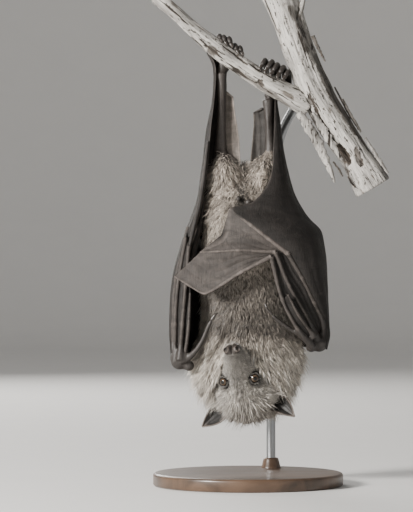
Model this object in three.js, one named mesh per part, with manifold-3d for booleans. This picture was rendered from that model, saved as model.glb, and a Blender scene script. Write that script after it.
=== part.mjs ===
// A little red flying-fox at roost, life size, hanging by its feet from a cut length of branch
// that a plain display stand holds. Millimetres, +Z up. The belly faces -Y, and the animal's
// right side is +X, because it hangs head down. The origin is the middle of the base's underside.
import * as THREE from 'three';
import { mergeVertices } from 'three/addons/utils/BufferGeometryUtils.js';
import Module from 'manifold-3d';

const wasm = await Module();
wasm.setup();

// ---- Driving dimensions ---------------------------------------------------------------------

const GAP = 0.3; // between pieces that touch
const SHEET = 0.8; // wing and tail membranes

const BASE = { radius: 74, height: 10, bevel: 1.5, sides: 28 };
const ROD = {
  radii: [3.6, 3.6],
  path: [[19, 50, 9.7], [19, 53, 120], [20, 53, 230], [26, 40, 272], [36, 20, 294], [41, 7, 301]],
};
const SOCKET = { at: [19, 50, 9], radius: 8, height: 9, sides: 12 };

// Branches: points down the middle of each limb, and its radius at each.
const ROOST_LIMB = {
  path: [[-72, 3, 381], [-54, 1, 366], [-37.4, 0, 351], [-24, 0, 340], [-5.5, 0, 327],
    [8.6, 0, 317.5], [29.6, 1, 305.5], [48, 3, 296]],
  radii: [5.2, 5.3, 5.9, 7.4, 7.4, 7.6, 8.4, 10],
};
const MAIN_LIMB = {
  path: [[24, 6, 384], [32.5, 5, 360], [42, 4, 333], [53.2, 3, 306], [67.5, 3, 281],
    [83.4, 4, 256.6], [97.7, 5, 232]],
  radii: [13.4, 12, 12, 13, 13, 12.6, 15],
};
const TWIG = { path: [[37, 4, 360], [41.5, 0, 372], [44, -1, 384]], radii: [3.2, 2.3, 1.7] };

// Trunk: [x, y, z, half width, half depth] down from the rump to the nape, fur included.
const TRUNK = [
  [-2, 14, 238, 9, 9], [-2, 13, 228, 25, 19], [-1, 13, 215, 33, 26], [1, 12, 200, 37, 30],
  [2.3, 12, 180, 40.5, 33], [2.5, 12, 160, 41, 34], [2.5, 11, 140, 41, 34],
  [1, 10, 122, 41, 32], [0, 8, 106, 45, 30], [-1.5, 6, 91, 45, 28], [-1.5, 5, 78, 39.5, 25],
  [-0.5, 4, 67, 31, 20], [0, 4, 59, 18, 12],
];
const TRUNK_SIDES = 14;
const TRUNK_RINGS = 11;
const NECK_TOP = 119; // where the neck is parted from the chest
const CHEST_TOP = 172; // and the chest from the belly
const RUMP = { at: [-2.6, 14, 243], size: [8, 8.5, 8] }; // between the thighs

// Head, in its own frame: x to the animal's right, y to the nose, z to the crown, from a point
// between the eyes. Stations are [0, y, z, half width, half height].
const HEAD = { at: [-6.3, -19, 83], yaw: 17.5, pitch: 40, roll: 9 };
const SKULL = [
  [0, 31.4, -7, 2.6, 2.6], [0, 29.6, -7.4, 5.4, 5.2], [0, 24, -7.6, 7.2, 7.4],
  [0, 16, -7, 9.4, 9.6], [0, 8, -5.8, 12.4, 12], [0, 0, -4.2, 17, 14.8],
  [0, -9, -2.5, 23, 18], [0, -19, -1.5, 27, 20], [0, -29, -2, 26.5, 19.5],
  [0, -37, -3, 21, 16], [0, -42, -4, 11, 8],
];
const EYE = { x: 11.1, y: 1.2, z: 0.8, radius: 5 };
const NOSTRIL = { x: 3, y: 30.7, z: -5.6, radius: 3.5 };
const EAR = {
  base: [17.5, -24, 2.5], tip: [36.8, -31, 17.5], across: [0.65, 0.376, -0.661],
  width: 8.2, thick: 1.4, sides: 8,
};

// Legs, left (-X) then right (+X): paths run from the knee up to the ankle.
const SHANK = {
  l: [[-21.5, 14, 252], [-21, 12, 275], [-20.6, 10.5, 300], [-20.9, 10.2, 322]],
  r: [[18.2, 14, 250], [17.2, 12, 270], [16.2, 10.5, 290], [15.6, 10.2, 301]],
};
const SHANK_RADII = [6, 3.9, 3.2, 4.6];
const THIGH = {
  l: [[-14, 12, 212], [-15.6, 12, 226], [-16.8, 13, 240], [-18.6, 14, 252], [-20.6, 14, 262]],
  r: [[11, 12, 212], [10.6, 12, 226], [10.6, 13, 240], [14.4, 14, 252], [17.4, 14, 260]],
};
const THIGH_RADII = [[8, 9], [12, 14.5], [12.8, 16], [10, 13], [5.4, 7]];

// Toes wrap the roosting limb: the highest point of each, and how far it hooks down the front.
const TOES = {
  l: [[[-22.4, -0.5, 350], 0.72], [[-19.2, -0.5, 349.2], 0.9], [[-15.1, -0.8, 348], 1],
    [[-10.4, -0.8, 342.6], 1], [[-6.7, -0.5, 340.9], 0.9]],
  r: [[[13, -0.6, 331], 0.8], [[18.3, -0.8, 329.9], 1.04], [[22.5, -0.8, 327.6], 1],
    [[27.3, -0.6, 325.6], 0.94], [[30.8, -0.3, 322.1], 0.7]],
};
const ANKLE = { l: [-21, 10.4, 322], r: [15.6, 10.4, 302] };
// Steps from a toe's highest point down the front of the limb to the tip of its claw.
const HOOK = {
  l: [[0.4, -3.2, -1.2], [1.6, -5.4, -4.4], [2.8, -6.2, -6.8], [2.2, -5.4, -8.6]],
  r: [[-1.2, -2.6, -2], [-3.2, -4.4, -5.6], [-4.9, -6.6, -8.4], [-2.5, -6.6, -11.4]],
};
const SOLE_RADII = [4, 5.4, 6.4];
const TOE_RADII = [2, 2.2, 2.3, 2.3, 2, 1.3, 0.4];

// Arms. Elbows lie behind the back, wrists in front of the chest.
const ELBOW = { l: [-43.5, 40, 199], r: [50.5, 41, 201] };
const WRIST = { l: [-53, -14, 95.6], r: [54.6, -13, 110.4] };
const SHOULDER = { l: [-29, 16, 140], r: [33, 16, 142] };
const FOREARM_RADII = [6.4, 4.6, 3.4, 3.6];
const UPPER_ARM_RADII = [8.5, 7, 5.4];
const WRIST_SIZE = [7.4, 5.2, 6.4];
const THUMB = {
  l: [[-47, -18, 99], [-39.4, -23, 107.2], [-35.2, -25, 114.4], [-31, -26.5, 124.4], [-28, -27.4, 130]],
  r: [[48, -18, 111.5], [38.6, -23, 118], [29.4, -26, 124], [21.4, -28, 130], [17.4, -28.6, 134]],
};
const THUMB_RADII = [2.9, 2.2, 1.9, 1.9, 1.7];
const THUMB_CLAW = {
  l: [[-27.6, -27.6, 130.8], [-25.4, -28.6, 133.6], [-23.2, -28, 134.8]],
  r: [[17, -28.8, 134.6], [13.6, -30, 138.6], [12.6, -29.6, 142.6]],
};
const CLAW_RADII = [1.7, 1.2, 0.4];

// Fingers of the right hand cross the belly; those of the left hand stay folded at the side.
const FINGERS_R = {
  finger_2: { path: [[51, -21, 116], [38, -31.4, 134], [30, -35.4, 149]], radii: [2.2, 1.8, 1] },
  finger_3: {
    path: [[50, -19, 108], [37.7, -28, 122.5], [26, -32, 145], [17.2, -34, 178], [-6, -36, 166],
      [-33.5, -33, 149.2], [-46, -30, 156], [-57.1, -26.5, 163]],
    radii: [2.6, 2.2, 2.2, 2.8, 2, 2, 1.4, 0.9],
  },
  finger_4: {
    path: [[54, -14, 113], [44, -26, 133], [31, -31, 156], [20.5, -33, 181.5], [-8, -34, 183],
      [-24, -32, 182], [-37.4, -29, 181.5]],
    radii: [2.4, 2, 2, 2.6, 1.8, 1.5, 0.8],
  },
  finger_5: {
    path: [[58.5, -11, 116], [57, -16, 129], [50.5, -22, 143], [41, -27, 162], [30.2, -30, 180.4],
      [15, -32, 192], [1.6, -31, 202.5], [-14.8, -26, 214.9]],
    radii: [2.6, 2.1, 2.1, 2.2, 2.8, 2, 1.9, 0.9],
  },
};
const FINGERS_L = {
  finger_2: { path: [[-50, -18, 96], [-46.4, -21, 122], [-45, -20, 150]], radii: [2.3, 1.8, 1.2] },
  finger_3: {
    path: [[-53, -19, 98], [-51, -20, 126], [-48.6, -19, 155], [-46, -13, 186]],
    radii: [2.6, 2.2, 2.1, 2.2],
  },
  finger_4: {
    path: [[-56.5, -15, 96], [-56.6, -16, 126], [-54.6, -14, 155], [-48.4, -8, 193]],
    radii: [2.6, 2.2, 2.1, 2.2],
  },
  finger_5: {
    path: [[-57.5, -9, 97], [-58.2, -8, 126], [-56, -5, 160], [-46.6, 2, 201]],
    radii: [2.6, 2.2, 2.1, 2.3],
  },
};

// Cloaks: rows of [front edge, side, back edge] points; each row is bent round the flank. The
// back edge meets the back above the elbow, and the forearm below it.
const CLOAK_INSET = { front: 2.9, back: 6.2 };
const CLOAK_R = [
  [[21, 6.5, 300], [22.6, 10.5, 300], [19, 18, 300]],
  [[20.5, 0, 284], [25, 11, 283], [17, 23, 283]],
  [[19.4, -6, 260], [28.4, 13, 258], [18, 36, 257]],
  [[18.4, -10, 246], [31.8, 14, 242], [20, 41, 241]],
  [[14.5, -16, 233.5], [36, 15, 228], [22, 44, 227]],
  [[2, -24, 219.5], [42, 16, 216], [25, 46, 215]],
  [[-14.2, -27.4, 214.8], [49, 17, 206], [33, 47, 207]],
  [[1.6, -31, 202.6], [57, 17, 198], [50.8, 38, 197]],
  [[15, -32, 192], [59.5, 13, 187], [51.5, 31, 186]],
  [[30.2, -30, 180.4], [61, 8, 174], [52.6, 22, 171]],
  [[41, -27, 162], [61.5, 1, 156], [53.8, 11, 155]],
  [[50.5, -22, 143], [62, -4, 140], [54.8, 1, 138]],
  [[57, -16, 129], [62.5, -9, 126], [56.4, -7, 124]],
  [[57.8, -15.6, 118], [62.8, -11, 116], [57.2, -7.6, 115]],
];
const WING_BACK_R = [
  [[50.5, 41, 203], [42, 48, 203], [29, 47, 203]],
  [[50.8, 37, 192], [44, 46, 192], [32, 45, 192]],
  [[52, 26, 173], [47, 38, 173], [34, 42, 173]],
  [[54, 12, 152], [50, 26, 152], [37, 36, 152]],
  [[55.5, -2, 130], [52, 12, 131], [39, 28, 133]],
  [[54.5, -8, 115], [50.5, 4, 117], [43, 16, 119]],
];
const CLOAK_L = [
  [[-29.4, 9, 334], [-31, 11, 335], [-25, 14, 333]],
  [[-26, 3, 304], [-27.2, 10, 304], [-22, 19, 304]],
  [[-29, 0, 277], [-32.4, 11, 277], [-24.5, 26, 277]],
  [[-31.6, -3, 246], [-36, 12, 246], [-25, 38, 246]],
  [[-35.4, -5, 222], [-40.2, 14, 222], [-27, 45, 222]],
  [[-39.6, -6, 204], [-46.4, 16, 204], [-34, 47, 205]],
  [[-48.6, -4, 188], [-52, 16, 188], [-45, 35, 187]],
  [[-56, -4, 160], [-59, 8, 160], [-47.6, 20, 159]],
  [[-58.2, -8, 126], [-61, -4, 126], [-50.6, 3, 128]],
  [[-57.4, -10, 103], [-60.2, -10, 103], [-52.6, -7, 104]],
];
const WING_BACK_L = [
  [[-44, 40, 201], [-39, 48, 203], [-30, 47, 203]],
  [[-45, 35, 190], [-40, 45, 192], [-30, 45, 192]],
  [[-47.2, 23, 168], [-43, 37, 171], [-31, 42, 173]],
  [[-49.4, 10, 142], [-46, 26, 147], [-34, 36, 152]],
  [[-51, 0, 124], [-48, 12, 128], [-37, 28, 133]],
  [[-51.5, -7, 108], [-48.5, 3, 111], [-42.5, 15, 114]],
];

// Free edge of the web between the tips of the right hand's fifth and fourth fingers.
const WEB_EDGE = [[-14.8, -26, 214.9], [-14.2, -28, 201], [-19.9, -30, 189.5], [-37.4, -29, 181.5]];

// Tail membranes: the edge along the shank, and the free edge with the spur at its top.
const TAIL_MEMBRANE = {
  l: {
    shank: [[-18.5, 10.4, 308], [-18.6, 10.6, 294], [-18.4, 11.4, 272], [-17.4, 12, 248]],
    free: [[-11.4, 13, 302.4], [-10.1, 14, 292], [-7, 14, 271.4], [-5.4, 11, 248]],
  },
  r: {
    shank: [[13.4, 10.4, 295], [13.8, 10.8, 284], [13.6, 11.6, 268], [12.8, 12, 247]],
    free: [[4.3, 13, 290.4], [4.6, 14, 283], [3.2, 14, 266.3], [1.2, 11, 247]],
  },
};

// ---- Materials ------------------------------------------------------------------------------

const finish = (color, roughness, metalness = 0) => ({ color, roughness, metalness });
const FINISH = {
  fur: finish('#6d6259', 0.95),
  pale_fur: finish('#8b8279', 0.95),
  bare_skin: finish('#2f2925', 0.6),
  membrane: finish('#3a322d', 0.5),
  eye: finish('#5a3314', 0.1),
  claw: finish('#16120f', 0.35),
  wood: finish('#96908a', 0.85),
  base: finish('#40372f', 0.5),
  rod: finish('#55575a', 0.35, 1),
};

// ---- Shapes ---------------------------------------------------------------------------------

const vec = (p) => new THREE.Vector3(p[0], p[1], p[2]);
const curveOf = (points) => new THREE.CatmullRomCurve3(points.map(vec));
const pointsOf = (points, count) => curveOf(points).getPoints(count);

// A number read from a list of values spread evenly from 0 to 1.
function valueAt(values, t) {
  const place = Math.min(t, 1) * (values.length - 1);
  const low = Math.min(Math.floor(place), values.length - 2);
  return THREE.MathUtils.lerp(values[low], values[low + 1], place - low);
}

// A closed geometry from rings of equal length, with a point in the middle of each end.
function skinRings(rings) {
  const sides = rings[0].length;
  const points = rings.flat();
  const index = [];
  for (let i = 0; i < rings.length - 1; i += 1) {
    for (let j = 0; j < sides; j += 1) {
      const next = (j + 1) % sides;
      const [a, b] = [i * sides + j, i * sides + next];
      index.push(a, b, b + sides, a, b + sides, a + sides);
    }
  }
  const closeEnd = (ring, start, flip) => {
    points.push(ring.reduce((sum, p) => sum.add(p), new THREE.Vector3()).divideScalar(sides));
    for (let j = 0; j < sides; j += 1) {
      const [a, b] = [start + j, start + ((j + 1) % sides)];
      index.push(...(flip ? [b, a, points.length - 1] : [a, b, points.length - 1]));
    }
  };
  closeEnd(rings[0], 0, true);
  closeEnd(rings.at(-1), (rings.length - 1) * sides, false);
  return new THREE.BufferGeometry().setFromPoints(points).setIndex(index);
}

// Flat rings, each square to the given pair of directions, smoothed through their stations.
function loft(stations, sides, rings, across, along, grow) {
  const middles = pointsOf(stations, rings);
  const sizes = pointsOf(stations.map((s) => [s[3], s[4], 0]), rings);
  return skinRings(middles.map((middle, i) => {
    const ring = [];
    for (let j = 0; j < sides; j += 1) {
      const turn = (2 * Math.PI * j) / sides;
      ring.push(middle.clone()
        .addScaledVector(across, (sizes[i].x + grow) * Math.cos(turn))
        .addScaledVector(along, (sizes[i].y + grow) * Math.sin(turn)));
    }
    return ring;
  }));
}

// A round bar along a smooth path, with its radius read from a list; flat squashes it.
function bar(path, radii, grow, { sides = 8, steps = path.length * 3, flat = 1 } = {}) {
  const curve = curveOf(path);
  const frames = curve.computeFrenetFrames(steps, false);
  const rings = [];
  for (let i = 0; i <= steps; i += 1) {
    const radius = valueAt(radii, i / steps) + grow;
    const middle = curve.getPointAt(i / steps);
    const ring = [];
    for (let j = 0; j < sides; j += 1) {
      const turn = (2 * Math.PI * j) / sides;
      ring.push(middle.clone()
        .addScaledVector(frames.normals[i], radius * Math.cos(turn))
        .addScaledVector(frames.binormals[i], radius * flat * Math.sin(turn)));
    }
    rings.push(ring);
  }
  return skinRings(rings);
}

// A sheet of even thickness over a grid of points, its rim pushed out by grow.
function sheet(grid, grow) {
  const [rows, columns] = [grid.length, grid[0].length];
  const { clamp } = THREE.MathUtils;
  const point = (i, j) => grid[clamp(i, 0, rows - 1)][clamp(j, 0, columns - 1)];
  const outward = (p, inner) => p.clone().sub(inner).setLength(grow);
  const pushed = grid.map((row, i) => row.map((p, j) => {
    const away = new THREE.Vector3();
    if (i === 0 || i === rows - 1) away.add(outward(p, point(i === 0 ? 1 : rows - 2, j)));
    if (j === 0 || j === columns - 1) away.add(outward(p, point(i, j === 0 ? 1 : columns - 2)));
    return p.clone().add(away);
  }));
  const half = SHEET / 2 + grow;
  const face = (side) => pushed.map((row, i) => row.map((p, j) => {
    const down = point(i + 1, j).clone().sub(point(i - 1, j));
    const across = point(i, j + 1).clone().sub(point(i, j - 1));
    return p.clone().addScaledVector(down.cross(across).normalize(), side * half);
  }));
  const [front, back] = [face(1), face(-1)];
  return skinRings(front.map((row, i) => [...row, ...back[i].toReversed()]));
}

// Rows bent round the flank: each runs from its front point by its side point to its back point.
// From a given row on, both ends lie along bones and stop short of them.
function wrapGrid(rows, columns, boneRow) {
  return rows.map((row, i) => {
    const [front, side, back] = row.map(vec);
    const half = (end, inset) => {
      const corner = new THREE.Vector3(side.x, end.y, (side.z + end.z) / 2);
      const bend = new THREE.QuadraticBezierCurve3(end, corner, side);
      const start = i < boneRow ? 0 : inset / end.distanceTo(side);
      const along = (j) => start + ((1 - start) * j) / columns;
      return Array.from({ length: columns + 1 }, (_, j) => bend.getPoint(along(j)));
    };
    return [...half(front, CLOAK_INSET.front), ...half(back, CLOAK_INSET.back).toReversed().slice(1)];
  });
}

// Rows straight from the side of one bar to the side of the other, hollowed by sag to the back.
// The last rows bend towards the free edge, where one is given.
function webGrid(barA, barB, rowCount, columns, sag, edge) {
  const [a, b] = [barA, barB].map(({ path }) => curveOf(path).getSpacedPoints(rowCount));
  return a.map((start, i) => {
    const span = start.distanceTo(b[i]);
    const inset = (radii) => Math.min((valueAt(radii, i / rowCount) + 1.5 * GAP) / span, 0.4);
    const [from, to] = [inset(barA.radii), 1 - inset(barB.radii)];
    return Array.from({ length: columns + 1 }, (_, j) => {
      const t = j / columns;
      const point = start.clone().lerp(b[i], from + (to - from) * t)
        .add(new THREE.Vector3(0, sag * Math.sin(Math.PI * t), 0));
      if (!edge) return point;
      const straight = a.at(-1).clone().lerp(b.at(-1), t);
      const pull = curveOf(edge).getPoint(t).sub(straight);
      return point.addScaledVector(pull, (i / rowCount) ** 2.5);
    });
  });
}

// ---- Solids ---------------------------------------------------------------------------------

function solidOf(geometry) {
  geometry.deleteAttribute('normal');
  geometry.deleteAttribute('uv');
  const merged = mergeVertices(geometry, 1e-4);
  const vertProperties = new Float32Array(merged.attributes.position.array);
  const triVerts = new Uint32Array(merged.index.array);
  const made = new wasm.Manifold(new wasm.Mesh({ numProp: 3, vertProperties, triVerts }));
  if (made.volume() > 0) return made;
  for (let i = 0; i < triVerts.length; i += 3) triVerts.subarray(i, i + 2).reverse();
  return new wasm.Manifold(new wasm.Mesh({ numProp: 3, vertProperties, triVerts }));
}

function largestOf(solid) {
  return solid.decompose().reduce((best, one) => (one.volume() > best.volume() ? one : best));
}

function geometryOf(solid) {
  const { vertProperties, triVerts } = solid.getMesh();
  const geometry = new THREE.BufferGeometry();
  geometry.setAttribute('position', new THREE.BufferAttribute(Float32Array.from(vertProperties), 3));
  geometry.setIndex(new THREE.BufferAttribute(Uint32Array.from(triVerts), 1));
  return geometry;
}

function meet(boxA, boxB) {
  return [0, 1, 2].every((k) => boxA.min[k] <= boxB.max[k] && boxB.min[k] <= boxA.max[k]);
}

const object = new THREE.Group();
const placed = [];

// Adds a piece, cut back by every earlier piece that it meets. make(grow) gives its solid.
function add(name, finishName, make) {
  let solid = make(0);
  for (const other of placed) {
    if (meet(solid.boundingBox(), other.box)) solid = solid.subtract(other.grown);
  }
  const whole = largestOf(solid);
  const grown = make(GAP);
  placed.push({ grown, box: grown.boundingBox() });
  const mesh = new THREE.Mesh(geometryOf(whole), new THREE.MeshStandardMaterial(FINISH[finishName]));
  mesh.name = name;
  object.add(mesh);
}

const addShape = (name, finishName, shape) => add(name, finishName, (grow) => solidOf(shape(grow)));

// ---- Stand and perch ------------------------------------------------------------------------

function baseProfile(grow) {
  const { radius, height, bevel } = BASE;
  const outline = [[0, -grow], [radius + grow, -grow], [radius + grow, height - bevel],
    [radius - bevel, height + grow], [0, height + grow]];
  return outline.map(([x, y]) => new THREE.Vector2(x, y));
}

function discOf(profile, sides) {
  return new THREE.LatheGeometry(profile, sides).rotateX(Math.PI / 2);
}

function collar(grow) {
  const { at, radius, height } = SOCKET;
  const tube = new THREE.CylinderGeometry(radius * 0.7 + grow, radius + grow, height + grow, SOCKET.sides);
  return tube.rotateX(Math.PI / 2).translate(at[0], at[1], at[2] + height / 2);
}

function addStand() {
  addShape('stand_rod', 'rod', (grow) => bar(ROD.path, ROD.radii, grow, { sides: 8, steps: 12 }));
  add('stand_base', 'base', (grow) => solidOf(discOf(baseProfile(grow), BASE.sides))
    .add(solidOf(collar(grow))));
}

function limb({ path, radii }, grow, sides) {
  return solidOf(bar(path, radii, grow, { sides, steps: path.length + 1 }));
}

function addPerch() {
  add('perch_branch', 'wood', (grow) => limb(ROOST_LIMB, grow, 8)
    .add(limb(MAIN_LIMB, grow, 10))
    .add(limb(TWIG, grow, 5)));
}

// ---- Feet and legs --------------------------------------------------------------------------

const roostCurve = curveOf(ROOST_LIMB.path);

// The point on the roosting limb's middle line at a given x, and the limb's radius there.
function roostAt(x) {
  const samples = 200;
  for (let i = 0; i <= samples; i += 1) {
    const point = roostCurve.getPointAt(i / samples);
    if (point.x >= x) return { point, radius: valueAt(ROOST_LIMB.radii, i / samples) };
  }
  throw new Error(`no limb at x ${x}`);
}

// A toe comes from behind the limb, rises over it and hooks its claw down the front.
function toePath(side, [top, reach]) {
  const { point, radius } = roostAt(top[0]);
  const behind = [point.x + 1.6, point.y + radius + 2.6, point.z + 1];
  const shoulder = [top[0] + 1, radius * 0.75, top[2] - 2.2];
  const down = HOOK[side].map((step) => step.map((value, k) => top[k] + value * reach));
  return [behind, shoulder, top, ...down];
}

function addFoot(side) {
  TOES[side].forEach((toe, i) => {
    addShape(`toe_${i + 1}_${side}`, 'bare_skin',
      (grow) => bar(toePath(side, toe), TOE_RADII, grow, { sides: 5, steps: 6 }));
  });
  const ankle = ANKLE[side];
  const { point, radius } = roostAt(TOES[side][2][0][0]);
  const behind = [point.x, point.y + radius + 4.4, point.z + 1];
  const sole = [ankle, [(ankle[0] + behind[0]) / 2, behind[1] + 0.6, (ankle[2] + behind[2]) / 2], behind];
  addShape(`foot_${side}`, 'bare_skin',
    (grow) => bar(sole, SOLE_RADII, grow, { sides: 7, steps: 4, flat: 0.62 }));
}

function addShank(side) {
  addShape(`shank_${side}`, 'bare_skin',
    (grow) => bar(SHANK[side], SHANK_RADII, grow, { sides: 7, steps: 5 }));
}

// ---- Wings ----------------------------------------------------------------------------------

function addArm(side) {
  const [elbow, wrist, shoulder] = [ELBOW[side], WRIST[side], SHOULDER[side]];
  const middle = elbow.map((value, k) => (value + wrist[k]) / 2);
  middle[0] += side === 'l' ? -1.6 : 1.6;
  addShape(`wrist_${side}`, 'bare_skin', (grow) => ball(1, 1)
    .scale(...WRIST_SIZE.map((size) => size + grow)).translate(...wrist));
  addShape(`forearm_${side}`, 'membrane',
    (grow) => bar([elbow, middle, wrist], FOREARM_RADII, grow, { sides: 7, steps: 7 }));
  addShape(`upper_arm_${side}`, 'fur',
    (grow) => bar([shoulder, [(shoulder[0] + elbow[0]) / 2, 34, 168], elbow], UPPER_ARM_RADII, grow,
      { sides: 7, steps: 4 }));
}

function addThumb(side) {
  addShape(`thumb_claw_${side}`, 'claw',
    (grow) => bar(THUMB_CLAW[side], CLAW_RADII, grow, { sides: 5, steps: 3 }));
  addShape(`thumb_${side}`, 'bare_skin',
    (grow) => bar(THUMB[side], THUMB_RADII, grow, { sides: 6, steps: 5 }));
}

function addFingers(side, fingers) {
  for (const [name, { path, radii }] of Object.entries(fingers)) {
    addShape(`${name}_${side}`, 'membrane',
      (grow) => bar(path, radii, grow, { sides: 5, steps: path.length * 2 - 2 }));
  }
}

function addSheet(name, grid) {
  addShape(name, 'membrane', (grow) => sheet(grid, grow));
}

function addMembranes() {
  const { finger_3: third, finger_4: fourth, finger_5: fifth } = FINGERS_R;
  const knuckle = { third: 3, fourth: 3, fifth: 4 };
  const outer = ({ path, radii }, from) => ({ path: path.slice(from), radii: radii.slice(from) });
  const palm = ({ path, radii }, to) => (
    { path: path.slice(0, to + 1).toReversed(), radii: radii.slice(0, to + 1).toReversed() });
  addSheet('web_45_r', webGrid(outer(fifth, knuckle.fifth), outer(fourth, knuckle.fourth), 5, 3, 1.4,
    WEB_EDGE));
  addSheet('web_34_r', webGrid(outer(fourth, knuckle.fourth), outer(third, knuckle.third), 6, 2, 1.2));
  addSheet('palm_45_r', webGrid(palm(fifth, knuckle.fifth), palm(fourth, knuckle.fourth), 5, 2, 2.4));
  addSheet('palm_34_r', webGrid(palm(fourth, knuckle.fourth), palm(third, knuckle.third), 5, 2, 1.6));
  addSheet('cloak_r', wrapGrid(CLOAK_R, 3, 6));
  addSheet('cloak_l', wrapGrid(CLOAK_L, 3, 5));
  addSheet('wing_back_r', wrapGrid(WING_BACK_R, 2, 4));
  addSheet('wing_back_l', wrapGrid(WING_BACK_L, 2, 4));
  for (const [name, first, second] of [['palm_45_l', 'finger_5', 'finger_4'],
    ['palm_34_l', 'finger_4', 'finger_3'], ['palm_23_l', 'finger_3', 'finger_2']]) {
    addSheet(name, webGrid(FINGERS_L[first], FINGERS_L[second], 4, 1, 0));
  }
  for (const side of ['l', 'r']) {
    const { shank, free } = TAIL_MEMBRANE[side];
    const edge = (path) => ({ path, radii: path.map(() => 0) });
    addSheet(`tail_membrane_${side}`, webGrid(edge(shank), edge(free), 4, 2, 1));
  }
}

// ---- Head -----------------------------------------------------------------------------------

// Places a geometry made in the head's frame.
function onHead(geometry) {
  const turn = THREE.MathUtils.degToRad;
  const level = new THREE.Vector3(Math.cos(turn(HEAD.yaw)), -Math.sin(turn(HEAD.yaw)), 0);
  const nose = new THREE.Vector3(-Math.sin(turn(HEAD.yaw)), -Math.cos(turn(HEAD.yaw)), 0)
    .multiplyScalar(Math.cos(turn(HEAD.pitch))).setZ(Math.sin(turn(HEAD.pitch)));
  const chin = nose.clone().cross(level).normalize();
  const right = level.clone().multiplyScalar(Math.cos(turn(HEAD.roll)))
    .addScaledVector(chin, Math.sin(turn(HEAD.roll)));
  const crown = right.clone().cross(nose);
  const frame = new THREE.Matrix4().makeBasis(right, nose, crown).setPosition(...HEAD.at);
  return geometry.applyMatrix4(frame);
}

const ball = (radius, detail) => new THREE.IcosahedronGeometry(radius, detail);

// A pointed leaf, hollowed a little, standing from its base to its tip.
function ear(sign, grow) {
  const { base, tip, width, thick } = EAR;
  const [foot, top] = [vec(base), vec(tip)];
  const spine = new THREE.LineCurve3(foot, top);
  const length = spine.getLength();
  const up = top.clone().sub(foot).normalize();
  const across = vec(EAR.across).projectOnPlane(up).normalize();
  const out = up.clone().cross(across);
  const stations = 6;
  const rings = Array.from({ length: stations }, (_, i) => {
    const t = i / (stations - 1);
    const wide = width * (1 - t ** 2.8) * (0.86 + 0.8 * t * (1 - t)) + 0.35 + grow;
    const deep = thick * (1.25 - t) + 0.25 + grow;
    const middle = foot.clone().addScaledVector(up, length * t + (i ? grow : -grow));
    return Array.from({ length: EAR.sides }, (__, j) => {
      const turn = (2 * Math.PI * j) / EAR.sides;
      const bow = 2.2 * (Math.cos(turn) ** 2) * (1 - t);
      return middle.clone().addScaledVector(across, wide * Math.cos(turn))
        .addScaledVector(out, deep * Math.sin(turn) + bow);
    });
  });
  return onHead(skinRings(rings).scale(sign, 1, 1));
}

function addHead() {
  for (const [side, sign] of [['l', -1], ['r', 1]]) {
    addShape(`eye_${side}`, 'eye',
      (grow) => onHead(ball(EYE.radius + grow, 1).translate(sign * EYE.x, EYE.y, EYE.z)));
    addShape(`ear_${side}`, 'bare_skin', (grow) => ear(sign, grow));
  }
  const nostril = (sign, grow) => solidOf(onHead(ball(NOSTRIL.radius + grow, 1).scale(1, 0.8, 0.9)
    .translate(sign * NOSTRIL.x, NOSTRIL.y, NOSTRIL.z)));
  add('nose', 'bare_skin', (grow) => nostril(-1, grow).add(nostril(1, grow)));
  const [across, crown] = [new THREE.Vector3(1, 0, 0), new THREE.Vector3(0, 0, 1)];
  addShape('head', 'pale_fur', (grow) => onHead(loft(SKULL, 12, 10, across, crown, grow)));
}

// ---- Trunk and thighs -----------------------------------------------------------------------

function slab(low, high) {
  return solidOf(new THREE.BoxGeometry(200, 200, high - low).translate(0, 0, (low + high) / 2));
}

function addTrunk() {
  const [across, along] = [new THREE.Vector3(1, 0, 0), new THREE.Vector3(0, 1, 0)];
  const trunk = (grow) => solidOf(loft(TRUNK, TRUNK_SIDES, TRUNK_RINGS, across, along, grow));
  for (const [name, finishName, low, high] of [['neck', 'pale_fur', 0, NECK_TOP],
    ['chest', 'fur', NECK_TOP, CHEST_TOP]]) {
    add(name, finishName, (grow) => trunk(grow).intersect(slab(low - grow, high + grow)));
  }
  const rump = (grow) => solidOf(ball(1, 1).scale(...RUMP.size.map((size) => size + grow))
    .translate(...RUMP.at));
  add('belly', 'fur', (grow) => trunk(grow).add(rump(grow)).intersect(slab(CHEST_TOP - grow, 300)));
  for (const side of ['l', 'r']) {
    const stations = THIGH[side].map((point, i) => [...point, ...THIGH_RADII[i]]);
    addShape(`thigh_${side}`, 'fur', (grow) => loft(stations, 9, 5, across, along, grow));
  }
}

addStand();
addPerch();
for (const side of ['l', 'r']) {
  addFoot(side);
  addShank(side);
  addArm(side);
  addThumb(side);
}
addFingers('r', FINGERS_R);
addFingers('l', FINGERS_L);
addMembranes();
addHead();
addTrunk();

export default object;
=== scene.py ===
"""A little red flying-fox at roost, life size, on a display stand: skin, coat, wings, perch and stage.

Lengths in the tables below are millimetres, where nothing else is said, in the frame's axes: +Z up, the
belly towards -Y, and the animal's right side at +X, because it hangs head down.
"""
import math

import bmesh
import bpy
import numpy as np
from bpy.props import FloatProperty, FloatVectorProperty, IntProperty, PointerProperty
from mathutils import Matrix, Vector, kdtree, noise
from mathutils.bvhtree import BVHTree


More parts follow.
